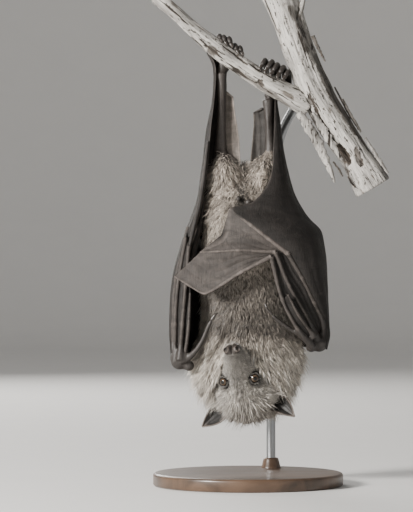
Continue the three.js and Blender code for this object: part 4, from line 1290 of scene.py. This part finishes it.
def scatter(obj, region, rng, count):
    """Random roots on the furred skin: points, normals, regions and coat pieces."""
    mesh = obj.data
    mesh.calc_loop_triangles()
    tris = np.empty(len(mesh.loop_triangles) * 3, np.int64)
    mesh.loop_triangles.foreach_get("vertices", tris)
    tris = tris.reshape(-1, 3)
    verts, normals = vertices_of(obj), normals_of(obj)
    tris = tris[in_region(region, *FURRED)[tris].all(1)]
    a, b, c = (verts[tris[:, k]] for k in range(3))
    area = np.linalg.norm(np.cross(b - a, c - a), axis=1) / 2
    which = coat_of((a + b + c) / 3, region[tris[:, 0]])
    roots, out, label, coat = [], [], [], []
    for index, (_, share) in enumerate(COATS.values()):
        own = np.flatnonzero(which == index)
        picked = own[np.searchsorted(np.cumsum(area[own]) / area[own].sum(), rng.random(int(count * share)))]
        u, v = rng.random((2, len(picked)))
        flip = u + v > 1
        u[flip], v[flip] = 1 - u[flip], 1 - v[flip]
        w = np.stack([1 - u - v, u, v], 1)[..., None]
        roots.append((verts[tris[picked]] * w).sum(1))
        out.append(unit((normals[tris[picked]] * w).sum(1)))
        label.append(region[tris[picked, 0]])
        coat.append(np.full(len(picked), index))
    return np.vstack(roots), np.vstack(out), np.concatenate(label), np.concatenate(coat)


def flow_of(roots, local, out, head):
    """Unit direction in which each tuft lies along the skin: down the body, and back over the head."""
    height = roots[:, 2]
    stray = np.stack([ripple(roots, 9.0, seed) for seed in (21.0, 33.0, 47.0)], 1)
    down = np.repeat(arr((0, 0, -1.0))[None], len(roots), 0)
    down[:, 0] += 0.45 * np.sign(roots[:, 0]) * smoothstep(150, 90, height)
    down = down + (0.75 + 0.55 * smoothstep(*THIGHS, height))[:, None] * stray
    back = local * arr((1.7, 0, 0.6))
    back[:, 1] = -17
    back = (unit(back) + 0.25 * stray) @ HEAD_AXES
    flow = np.where(head[:, None], back, down)
    return unit(flow - out * (flow * out).sum(1)[:, None])


def lie_of(roots, out, region):
    """How each tuft lies: its direction along the skin, lift off it and length, and how near an eye is."""
    local = to_head(roots)
    fore, high, height = local[:, 1], local[:, 2], roots[:, 2]
    head = in_region(region, "head")
    cheek, full = smoothstep(0, -24, fore), smoothstep(5, -17, fore)
    chin = smoothstep(-9, -12, high) * smoothstep(4, 12, fore)
    crown = smoothstep(1, 9, high) * cheek * head
    neck = smoothstep(126, 100, height)
    thigh, knee = smoothstep(*THIGHS, height), smoothstep(242, 260, height)
    lift = np.where(head, 0.34 + 0.55 * cheek + 0.5 * chin, 0.50 + 0.50 * neck + 0.60 * thigh)
    lift = lift * (1 - 0.55 * knee) * (1 - 0.35 * crown)
    body = (7.2 + 2.2 * thigh + 3.0 * neck) * (1 - 0.6 * knee)
    face = 1.5 + 2.2 * smoothstep(24, 8, fore) + 1.0 * smoothstep(8, -4, fore) + 4.3 * full + 1.8 * chin
    eye_near = distance_to_eye(local)
    face = face * (0.35 + 0.65 * smoothstep(6.0, 10.5, eye_near)) * (1 - 0.50 * crown)
    face = face * (0.38 + 0.62 * smoothstep(4.5, 10.0, distance_to_ear(local)))
    return flow_of(roots, local, out, head), lift, np.where(head, face, body), eye_near


def obstacle_tree(objects):
    verts, faces, start = [], [], 0
    for obj in objects:
        verts += [v.co.copy() for v in obj.data.vertices]
        faces += [[k + start for k in p.vertices] for p in obj.data.polygons]
        start = len(verts)
    return BVHTree.FromPolygons(verts, faces)


def clearance(roots, directions, reach, tree):
    """How far each tuft can run before it meets what the tree holds, in millimetres."""
    free = reach.copy()
    for i, (root, direction, want) in enumerate(zip(roots * MM, directions, reach)):
        _, _, _, gap = tree.ray_cast(Vector(root), Vector(direction), (want + 2.0) * MM)
        if gap is not None:
            free[i] = max(min(want, gap / MM - 0.6), 0.0)
    return free


def room_for(roots, out, flow, lift, length):
    """How much of its length each tuft can have between wings, eyes and ears."""
    names = ("wing_skin_l", "wing_skin_r", "eyeball_l", "eyeball_r")
    tree = obstacle_tree([bpy.data.objects[name] for name in names])
    leaves, sheets = merge([ear_mesh(side)[:2] for side in SIDES])
    leaves = BVHTree.FromPolygons([Vector(point) for point in leaves * MM], sheets)
    start, heading = roots + out * 0.2, unit(flow + out * lift[:, None])
    free = clearance(start, heading, length, tree)
    free = np.minimum(free, clearance(start, heading, length, leaves))
    return np.minimum(free, clearance(start, out, length * 0.75, tree) * 1.33)


def tuft_lines(roots, out, flow, lift, length, guard, rng):
    """Foot, middle and tip of each tuft, drawn towards those of its lock's leader, and the leaders."""
    count = len(roots)
    length = length * np.where(guard, 1.22 + 0.4 * smoothstep(0.6, 1.0, lift), 1.0)
    lift = lift * rng.uniform(0.6, 1.3, count) * np.where(guard, 1.5, 1.0)
    loose = smoothstep(*THIGHS, roots[:, 2])
    sway = rng.normal(0, 0.16, (count, 3)) * (1 + 0.9 * loose)[:, None]
    rise = unit(flow + out * lift[:, None] + sway)
    droop = unit(flow + arr((0, 0, -0.45)) + out * lift[:, None] * 0.3 + sway * 0.7)
    middle = roots + length[:, None] * 0.52 * rise
    tips = middle + length[:, None] * 0.5 * unit(rise + droop * 1.2)
    leaders = rng.choice(count, max(count // LOCK, 1), replace=False)
    lock = leaders[nearest(point_tree(roots[leaders]), roots)]
    pull = rng.uniform(0.35, 0.95, count) * np.minimum(1, length / 4.0) * np.where(guard, 0.3, 1.0)
    pull = (pull * (1 - 0.45 * loose))[:, None]
    middle = blend(middle, middle[lock], pull * 0.30)
    tips = blend(tips, tips[lock], pull * 0.68)
    return roots - out * 0.3, middle, tips, lock


def tuft_points(base, middle, tips, out, width):
    """The points of each tuft: three at its foot, three round its middle, and its tip."""
    along = unit(tips - base)
    side = unit(np.cross(along, out))
    face = np.cross(side, along)
    turns = [2 * math.pi * k / 3 + math.pi / 6 for k in range(3)]
    corners = np.stack([side * math.cos(turn) + face * 0.5 * math.sin(turn) for turn in turns], 1)
    low = base[:, None] + width[:, None, None] * corners
    high = middle[:, None] + 0.72 * width[:, None, None] * corners
    return np.concatenate([low, high, tips[:, None]], axis=1)


def tuft_faces(count):
    """Nine triangles for each tuft."""
    tris = []
    for k in range(3):
        n = (k + 1) % 3
        tris += [(k, n, 3 + n), (k, 3 + n, 3 + k), (3 + k, 3 + n, 6)]
    return (np.array(tris, np.int64)[None] + (np.arange(count) * TUFT_POINTS)[:, None, None]).reshape(-1, 3)


def tuft_shades(shades, lock, guard, rng):
    """Colour at each of the points: one tone to a lock, varied by the tuft, with frosted ends."""
    roots, tips = shades
    count = len(roots)
    tone = rng.uniform(0.74, 1.2, count)[lock] * rng.uniform(0.6, 1.32, count) * np.where(guard, 1.3, 1.0)
    half = blend(roots, tips, rng.uniform(0.25, 0.75, count)[:, None])
    made = np.stack([roots] * 3 + [half * tone[:, None]] * 3 + [tips * tone[:, None]], 1)
    return np.clip(made, 0, 1).reshape(-1, 3)


def tuft_mesh(name, roots, out, flow, lift, length, width, shades, uv, rng):
    """Three-sided tapering tufts, bent along the lie of the coat and drawn together in locks."""
    count = len(roots)
    guard = rng.random(count) < GUARD_SHARE
    base, middle, tips, lock = tuft_lines(roots, out, flow, lift, length, guard, rng)
    points, faces = tuft_points(base, middle, tips, out, width), tuft_faces(count)
    mesh = bpy.data.meshes.new(name)
    mesh.vertices.add(count * TUFT_POINTS)
    mesh.vertices.foreach_set("co", (points * MM).ravel())
    mesh.loops.add(faces.size)
    mesh.loops.foreach_set("vertex_index", faces.ravel())
    mesh.polygons.add(len(faces))
    mesh.polygons.foreach_set("loop_start", np.arange(0, faces.size, 3))
    mesh.update(calc_edges=True)
    mesh.polygons.foreach_set("use_smooth", np.ones(len(faces), bool))
    obj = bpy.data.objects.new(name, mesh)
    bpy.context.scene.collection.objects.link(obj)
    tint(obj, tuft_shades(shades, lock, guard, rng))
    in_patch = arr([(k / 2 - 0.5, level) for level in (0.0, 0.55) for k in range(3)] + [(0, 1)]) * PATCH
    layer = mesh.uv_layers.new(name="OFBake")
    per_vertex = (uv[:, None] + in_patch[None]).reshape(-1, 2)
    layer.data.foreach_set("uv", per_vertex[faces.ravel()].ravel())
    return obj


def unwrap(roots, name):
    """Each root's place on an unwrap of the skin: turn round the body or head, and distance along it."""
    if name in ("coat_face", "coat_cheeks"):
        local = to_head(roots)
        turn, run = np.arctan2(local[:, 0], local[:, 2] + 3), local[:, 1]
    else:
        turn, run = np.arctan2(roots[:, 0], roots[:, 1] - 12), roots[:, 2]
    uv = np.stack([turn, run], 1)
    low, high = uv.min(0), uv.max(0)
    return 0.01 + 0.975 * (uv - low) / (high - low)


# ---- Perch -----------------------------------------------------------------------------------

def limb_mesh(path, radii, count, sides, rough, seed):
    """A weathered limb: lumpy, fluted along its length, with the coordinates of its grain."""
    centre = curve(path, count)
    radius = spread(radii, count)
    run = run_along(centre)
    across, along = frames_along(centre)
    turn = full_turn(sides)
    rings = np.zeros((count, sides, 3))
    grain = np.zeros((count, sides, 3))
    for i in range(count):
        end = 1 - 0.5 * (max(0, 1.2 - run[i]) + max(0, 1.2 - run[-1] + run[i])) / radius[i]
        for j, a in enumerate(turn):
            x, y = math.cos(a), math.sin(a)
            lump = noise.noise(Vector((x * 1.1 + seed, y * 1.1, run[i] / 24)))
            flute = noise.noise(Vector((x * 4 + seed, y * 4, run[i] / 40)))
            split = noise.noise(Vector((x * 9 + seed, y * 9, run[i] / 60)))
            fine = noise.noise(Vector((x * 18 + seed, y * 18, run[i] / 12)))
            open_here = max(0, noise.noise(Vector((x * 2, y * 2 + seed, run[i] / 30))))
            crack = -0.9 * math.exp(-(split / 0.045) ** 2) * open_here
            r = end * radius[i] + rough * (0.8 * lump + 0.45 * flute + 0.16 * fine + crack)
            rings[i, j] = centre[i] + across[i] * x * r + along[i] * y * r
            grain[i, j] = (x * radius[i] + seed * 9, y * radius[i], run[i])
    verts, faces = skin_rings(rings)
    grain = np.vstack([grain.reshape(-1, 3), grain[0].mean(0), grain[-1].mean(0)])
    return verts, faces, grain


def flake(points, widths, y, curl, seed, rows=60, columns=9, thick=0.8):
    """A flat strip of bark standing off the limb, with a ragged edge on each side."""
    line = curve([(x, y, z) for x, z in points], rows)
    width = spread(widths, rows)
    along = unit(np.gradient(line, axis=0))
    side = unit(np.cross(along, (0, 1, 0)))
    grid = np.zeros((rows, columns, 3))

    def ragged(v, coarse, fine):
        return (1 + 0.5 * noise.noise(Vector((v * 14, seed, coarse)))
                + 0.25 * noise.noise(Vector((v * 40, seed, fine))))

    for i, v in enumerate(np.linspace(0, 1, rows)):
        left, right = ragged(v, 0, 3), ragged(v, 7, 9)
        for j, u in enumerate(np.linspace(-0.5, 0.5, columns)):
            wide = width[i] * u * (left if u < 0 else right)
            bow = curl * (0.25 - u * u) * 4 + 0.5 * noise.noise(Vector((v * 8, u * 4, seed)))
            grid[i, j] = line[i] + side[i] * wide + arr((0, -1, 0)) * bow
    return sheet(grid, thick)


def scar_and_shade_mask(verts, steps=60):
    """How dark and how deep each point of the wood is, from the list of scars and painted shade."""
    dark, sink = np.zeros(len(verts)), np.zeros(len(verts))
    ragged = 1 + 0.45 * ripple(verts, 3.2, 2.0) + 0.3 * ripple(verts, 1.1, 5.0)
    front = smoothstep(5.0, -1.0, verts[:, 1])
    for points, half, depth, tone in SCARS_AND_SHADE:
        line = curve([(x, 0, z) for x, z in points], steps)
        gap = np.full(len(verts), np.inf)
        for t, spot in zip(np.linspace(0, 1, steps), line):
            size = half * (0.45 + 0.55 * math.sin(math.pi * (0.08 + 0.84 * t)))
            gap = np.minimum(gap, np.hypot(verts[:, 0] - spot[0], verts[:, 2] - spot[2]) / size)
        edge = front * smoothstep(1.25, 0.8, gap / ragged)
        dark = np.maximum(dark, edge * tone)
        sink = np.maximum(sink, edge * depth)
    return dark, sink


def perch_parts():
    """The wood: (vertices, faces, coordinates of its grain, darkness)."""
    limbs = [limb_mesh(ROOST_LIMB, ROOST_RADII, 210, 64, 0.9, 1.3),
             limb_mesh(MAIN_LIMB, MAIN_RADII, 300, 110, 1.4, 4.7),
             limb_mesh(TWIG, TWIG_RADII, 50, 20, 0.4, 8.2)]
    flakes = [flake(points, widths, y, bow, k * 1.7) for k, (points, widths, y, bow, _) in enumerate(FLAKES)]
    verts, faces = merge([limb[:2] for limb in limbs] + flakes)
    grain = np.vstack([limb[2] for limb in limbs] + [points for points, _ in flakes])
    wood = sum(len(limb[0]) for limb in limbs)
    dark, sink = scar_and_shade_mask(verts[:wood])
    axis = np.vstack([curve(ROOST_LIMB, 210), curve(MAIN_LIMB, 300)])
    sunk = np.flatnonzero(sink > 0.01)
    inward = unit(axis[nearest(point_tree(axis), verts[sunk])] - verts[sunk])
    verts[sunk] += inward * sink[sunk, None]
    tones = [np.full(len(points), tone) for (points, _), (*_, tone) in zip(flakes, FLAKES)]
    return verts, faces, grain, np.concatenate([dark, *tones])


# ---- Operators -------------------------------------------------------------------------------

def make_material(name, builder, *values):
    return bpy.data.materials.get(name) or builder(name, *values)


def dress(obj, material):
    obj.data.materials.clear()
    obj.data.materials.append(material)


class BAT_OT_skin(bpy.types.Operator):
    """One skin over head, trunk, arms, legs, feet and thumbs"""

    bl_idname = "bat.skin"
    bl_label = "Skin"

    def execute(self, context):
        core, faces, region = joined_skin()
        extra = [ear_mesh(side) for side in SIDES] + [toes_mesh(side) for side in SIDES]
        obj = mesh_object("body_skin", *merge([(core, faces), *(piece[:2] for piece in extra)]))
        recalc_normals(obj)
        added = sum(len(piece[0]) for piece in extra)
        region = np.concatenate([region, np.full(added, REGIONS.index("foot"))])
        tone = np.concatenate([np.ones(len(core)), *(piece[2] for piece in extra)])
        tint(obj, np.clip(skin_shade(vertices_of(obj), region) * tone[:, None], 0, 1))
        store(obj, "region", "INT", region)
        dress(obj, make_material("bat skin", skin_material))
        toes = [f"toe_{k}_{side}" for side in SIDES for k in range(1, 6)]
        limbs = [f"{name}_{side}" for side in SIDES
                 for name in ("thigh", "shank", "foot", "upper_arm", "forearm", "wrist", "thumb", "ear")]
        place(obj, "bare_skin", "head", "nose", "neck", "chest", "belly", *limbs, *toes)
        return {"FINISHED"}


class BAT_OT_eyes(bpy.types.Operator):
    """Both eyeballs, set in their sockets"""

    bl_idname = "bat.eyes"
    bl_label = "Eyes"

    def execute(self, context):
        for side in SIDES:
            centre, out, _, _ = eye_frame(side)
            verts, faces = ball((0, 0, 0), (1, 1, 1), 64, 48)
            radius = EYE["radius"] * (1 + 0.07 * smoothstep(0.80, 0.99, verts @ out))
            obj = mesh_object(f"eyeball_{side}", from_head(centre + verts * radius[:, None]), faces)
            recalc_normals(obj)
            store(obj, "from_axis", "FLOAT", np.arccos(np.clip(unit(verts) @ out, -1, 1)) / (math.pi / 2))
            dress(obj, make_material("bat eye", eye_material))
            place(obj, "eyes", f"eye_{side}")
        return {"FINISHED"}


class BAT_OT_claws(bpy.types.Operator):
    """Claws of the thumbs and toes"""

    bl_idname = "bat.claws"
    bl_label = "Claws"

    def execute(self, context):
        horn = make_material("bat claw", claw_material)
        for side in SIDES:
            obj = mesh_object(f"thumb_horn_{side}", *bar(THUMB_CLAW[side], THUMB_CLAW_RADII, 24, 14))
            dress(obj, horn)
            place(obj, "claws", f"thumb_claw_{side}")
            claws = [bar(claw_path(side, number), TOE_CLAW_RADII, 26, 12, flat=0.85) for number in range(5)]
            obj = mesh_object(f"toe_horns_{side}", *merge(claws))
            dress(obj, horn)
            place(obj, "claws")
        return {"FINISHED"}


class BAT_OT_wings(bpy.types.Operator):
    """Both folded wings, with their fingers"""

    bl_idname = "bat.wings"
    bl_label = "Wings"

    def execute(self, context):
        leather = make_material("wing skin", membrane_material)
        nodes = {"r": ["cloak", "wing_back", "web_45", "web_34", "palm_45", "palm_34"],
                 "l": ["cloak", "wing_back", "palm_45", "palm_34", "palm_23"]}
        for side in SIDES:
            parts = wing_parts(side)
            obj = mesh_object(f"wing_skin_{side}", *merge([part[:2] for part in parts]))
            recalc_normals(obj)
            # Painted highlights along free edges, bones and joints, and painted light on the wing tips.
            tint(obj, np.concatenate([part[2] for part in parts])[:, None] * arr(tuple(colours().wing)))
            dress(obj, leather)
            names = nodes[side] + [f"finger_{k}" for k in range(2, 6)]
            place(obj, "wing_membrane", *[f"{name}_{side}" for name in names])
        return {"FINISHED"}


class BAT_OT_tail(bpy.types.Operator):
    """Skin between the legs, with its spurs"""

    bl_idname = "bat.tail"
    bl_label = "Tail skin"

    def execute(self, context):
        thin = make_material("wing skin", membrane_material)
        for side in SIDES:
            shank, free = TAIL_MEMBRANE[side]
            grid = ruffle(web_grid(shank, free, 70, 18, 1.0), 0.5, 1.5, 5.0 + SIGN[side], edge_hold=False)
            skin = rimmed(grid, sizes().wing_thickness / MM, (0, 1))
            start, end = blend(arr(shank[0]), arr(free[0]), 0.2), arr(free[0]) + arr((0, 0, 0.4))
            spur = bar([start, (start + end) / 2, end], [1.1, 0.8, 0.4], 12, 8)
            obj = mesh_object(f"tail_skin_{side}", *merge([skin[:2], spur]))
            recalc_normals(obj)
            tone = np.concatenate([skin[2], np.full(len(spur[0]), SPUR_TONE)])
            # Painted light on the left tail skin, painted shade on the right, and a painted highlight along
            # the free edge.
            tint(obj, tone[:, None] * arr(tuple(colours().tail)) * TAIL_LIGHT_AND_SHADE[side])
            dress(obj, thin)
            place(obj, "wing_membrane", f"tail_membrane_{side}")
        return {"FINISHED"}


class BAT_OT_coat(bpy.types.Operator):
    """Tufts of fur over the skin"""

    bl_idname = "bat.coat"
    bl_label = "Coat"

    def execute(self, context):
        skin = bpy.data.objects["body_skin"]
        region = np.empty(len(skin.data.vertices), np.int32)
        skin.data.attributes["region"].data.foreach_get("value", region)
        rng = np.random.default_rng(sizes().seed)
        count = sizes().tufts // 1
        roots, out, label, coat = scatter(skin, region, rng, count)
        head, fore, high = in_region(label, "head"), to_head(roots)[:, 1], to_head(roots)[:, 2]
        flow, lift, length, eye_near = lie_of(roots, out, label)
        length = length * rng.uniform(0.7, 1.2, len(roots))
        crown = smoothstep(1, 9, high) * smoothstep(-6, -22, fore) * head
        fringe = rng.random(len(roots)) < FRINGE_SHARE * crown
        length = np.where(fringe, length * FRINGE_LENGTH, length)
        lift = np.where(fringe, lift * FRINGE_LIFT, lift)
        free = room_for(roots, out, flow, lift, length)
        bald = (free < SHORTEST) | ((fore > NOSE_BARE) & head) | (eye_near < LIDS_BARE)
        sparse = smoothstep(246, 264, roots[:, 2]) * in_region(label, "thigh")
        keep = ~bald & (rng.random(len(roots)) > sparse)
        width = (sizes().tuft_width / MM) * np.where(head, 0.7, 1.0)
        width = width * rng.uniform(0.7, 1.3, len(roots)) * np.clip(free / 4.0, 0.5, 1.1)
        shades = fur_shade(roots, label)
        fur = make_material("bat fur", fur_material)
        for index, (name, (slot, _)) in enumerate(COATS.items()):
            own = keep & (coat == index)
            pair = tuple(s[own] for s in shades)
            obj = tuft_mesh(name, roots[own], out[own], flow[own], lift[own], free[own], width[own], pair,
                            unwrap(roots[own], name), rng)
            dress(obj, fur)
            place(obj, slot)
        return {"FINISHED"}


class BAT_OT_perch(bpy.types.Operator):
    """The cut length of weathered branch"""

    bl_idname = "bat.perch"
    bl_label = "Perch"

    def execute(self, context):
        verts, faces, grain, dark = perch_parts()
        obj = mesh_object("perch_wood", verts, faces)
        recalc_normals(obj)
        store(obj, "grain", "FLOAT_VECTOR", grain)
        store(obj, "dark", "FLOAT", dark)
        dress(obj, make_material("weathered wood", wood_material))
        place(obj, "branch_wood", "perch_branch")
        return {"FINISHED"}


class BAT_OT_stand(bpy.types.Operator):
    """Turned base and bent steel rod"""

    bl_idname = "bat.stand"
    bl_label = "Stand"

    def execute(self, context):
        radius, high, bevel = BASE["radius"], BASE["height"], BASE["bevel"]
        disc = [(0.01, high), (radius * 0.5, high)]
        disc += [(radius - bevel + bevel * math.sin(turn), high - bevel + bevel * math.cos(turn))
                 for turn in np.linspace(0, math.pi / 2, 8)]
        disc += [(radius, 1.2), (radius - 1.0, 0.0), (radius * 0.5, 0.0), (0.01, 0.0)]
        neck, top = BASE["socket_r"], BASE["socket_h"]
        collar = [(neck, high - 1), (neck, high + 0.4), (neck * 0.93, high + 1.2), (neck * 0.76, top - 1.4),
                  (neck * 0.7, top - 0.3), (neck * 0.6, top)]
        parts = [skin_rings(turned(disc, 128)), skin_rings(turned(collar, 64, BASE["socket"]))]
        obj = mesh_object("stand_turned_base", *merge(parts))
        recalc_normals(obj)
        dress(obj, make_material("stained base", base_material))
        place(obj, "stand_wood", "stand_base")
        obj = mesh_object("stand_bent_rod", *bar(ROD_PATH, [ROD_RADIUS] * 2, 120, 32))
        dress(obj, make_material("brushed rod", rod_material))
        place(obj, "stand_metal", "stand_rod")
        return {"FINISHED"}


class BAT_OT_stage(bpy.types.Operator):
    """Floor, backdrop, lights and camera"""

    bl_idname = "bat.stage"
    bl_label = "Stage"

    def execute(self, context):
        stage = context.scene.bat_stage
        self.sweep(stage)
        self.lights(context, stage)
        aim = Vector(stage.aim)
        data = bpy.data.cameras.new("camera")
        data.lens, data.sensor_fit = stage.lens, "VERTICAL"
        data.sensor_height, data.sensor_width = SENSOR, SENSOR
        data.clip_start, data.clip_end = 0.05, 30.0
        camera = bpy.data.objects.new("camera", data)
        camera.location = aim + Vector((0, -stage.distance, 0))
        camera.rotation_euler = (math.pi / 2, 0, 0)
        context.scene.collection.objects.link(camera)
        context.scene.camera = camera
        return {"FINISHED"}

    def sweep(self, stage):
        """A floor that curves up into a wall all round."""
        edge, bend, sides = FLOOR["edge"], FLOOR["bend"], FLOOR["sides"]
        profile = [(1.0, 0.0), (bend, 0.0), (edge, 0.0)]
        profile += [(edge + bend * math.sin(a), bend - bend * math.cos(a))
                    for a in np.linspace(0, math.pi / 2, 20)[1:]]
        rings = turned(profile + [(edge + bend, FLOOR["top"])], sides)
        faces = ring_faces(len(rings), sides).tolist() + [list(range(sides))]
        obj = mesh_object("floor_sweep", rings.reshape(-1, 3), faces)
        dress(obj, plaster_material("pale plaster", tuple(stage.floor)))

    def lights(self, context, stage):
        world = bpy.data.worlds.new("soft room")
        world.use_nodes = True
        background = world.node_tree.nodes["Background"]
        background.inputs["Color"].default_value = (0.93, 0.95, 1.0, 1)
        background.inputs["Strength"].default_value = stage.room
        context.scene.world = world
        for name, (spot, size, share, shade) in LAMPS.items():
            data = bpy.data.lights.new(name, "AREA")
            data.size, data.energy, data.color = size, stage.key * share, shade
            lamp = bpy.data.objects.new(name, data)
            lamp.location = spot
            lamp.rotation_euler = (Vector(LIT) - Vector(spot)).to_track_quat("-Z", "Y").to_euler()
            context.scene.collection.objects.link(lamp)


STEPS = (BAT_OT_skin, BAT_OT_eyes, BAT_OT_claws, BAT_OT_wings, BAT_OT_tail, BAT_OT_coat, BAT_OT_perch,
         BAT_OT_stand, BAT_OT_stage)


class BAT_PT_panel(bpy.types.Panel):
    """Lists each step of the model"""

    bl_idname = "BAT_PT_panel"
    bl_label = "Fruit bat"
    bl_space_type = "VIEW_3D"
    bl_region_type = "UI"
    bl_category = "Fruit bat"

    def draw(self, context):
        for group in ("bat_sizes", "bat_colours", "bat_stage"):
            settings = getattr(context.scene, group)
            for name in settings.bl_rna.properties.keys():
                if name not in ("rna_type", "name"):
                    self.layout.prop(settings, name)
        for step in STEPS:
            self.layout.operator(step.bl_idname)


CLASSES = (BatSizes, BatColours, StageSettings, *STEPS, BAT_PT_panel)


def register():
    for cls in CLASSES:
        bpy.utils.register_class(cls)
    bpy.types.Scene.bat_sizes = PointerProperty(type=BatSizes)
    bpy.types.Scene.bat_colours = PointerProperty(type=BatColours)
    bpy.types.Scene.bat_stage = PointerProperty(type=StageSettings)


def unregister():
    for name in ("bat_sizes", "bat_colours", "bat_stage"):
        delattr(bpy.types.Scene, name)
    for cls in reversed(CLASSES):
        bpy.utils.unregister_class(cls)


def main():
    register()
    bpy.ops.bat.skin()
    bpy.ops.bat.eyes()
    bpy.ops.bat.claws()
    bpy.ops.bat.wings()
    bpy.ops.bat.tail()
    bpy.ops.bat.coat()
    bpy.ops.bat.perch()
    bpy.ops.bat.stand()
    bpy.ops.bat.stage()


if __name__ == "__main__":
    main()
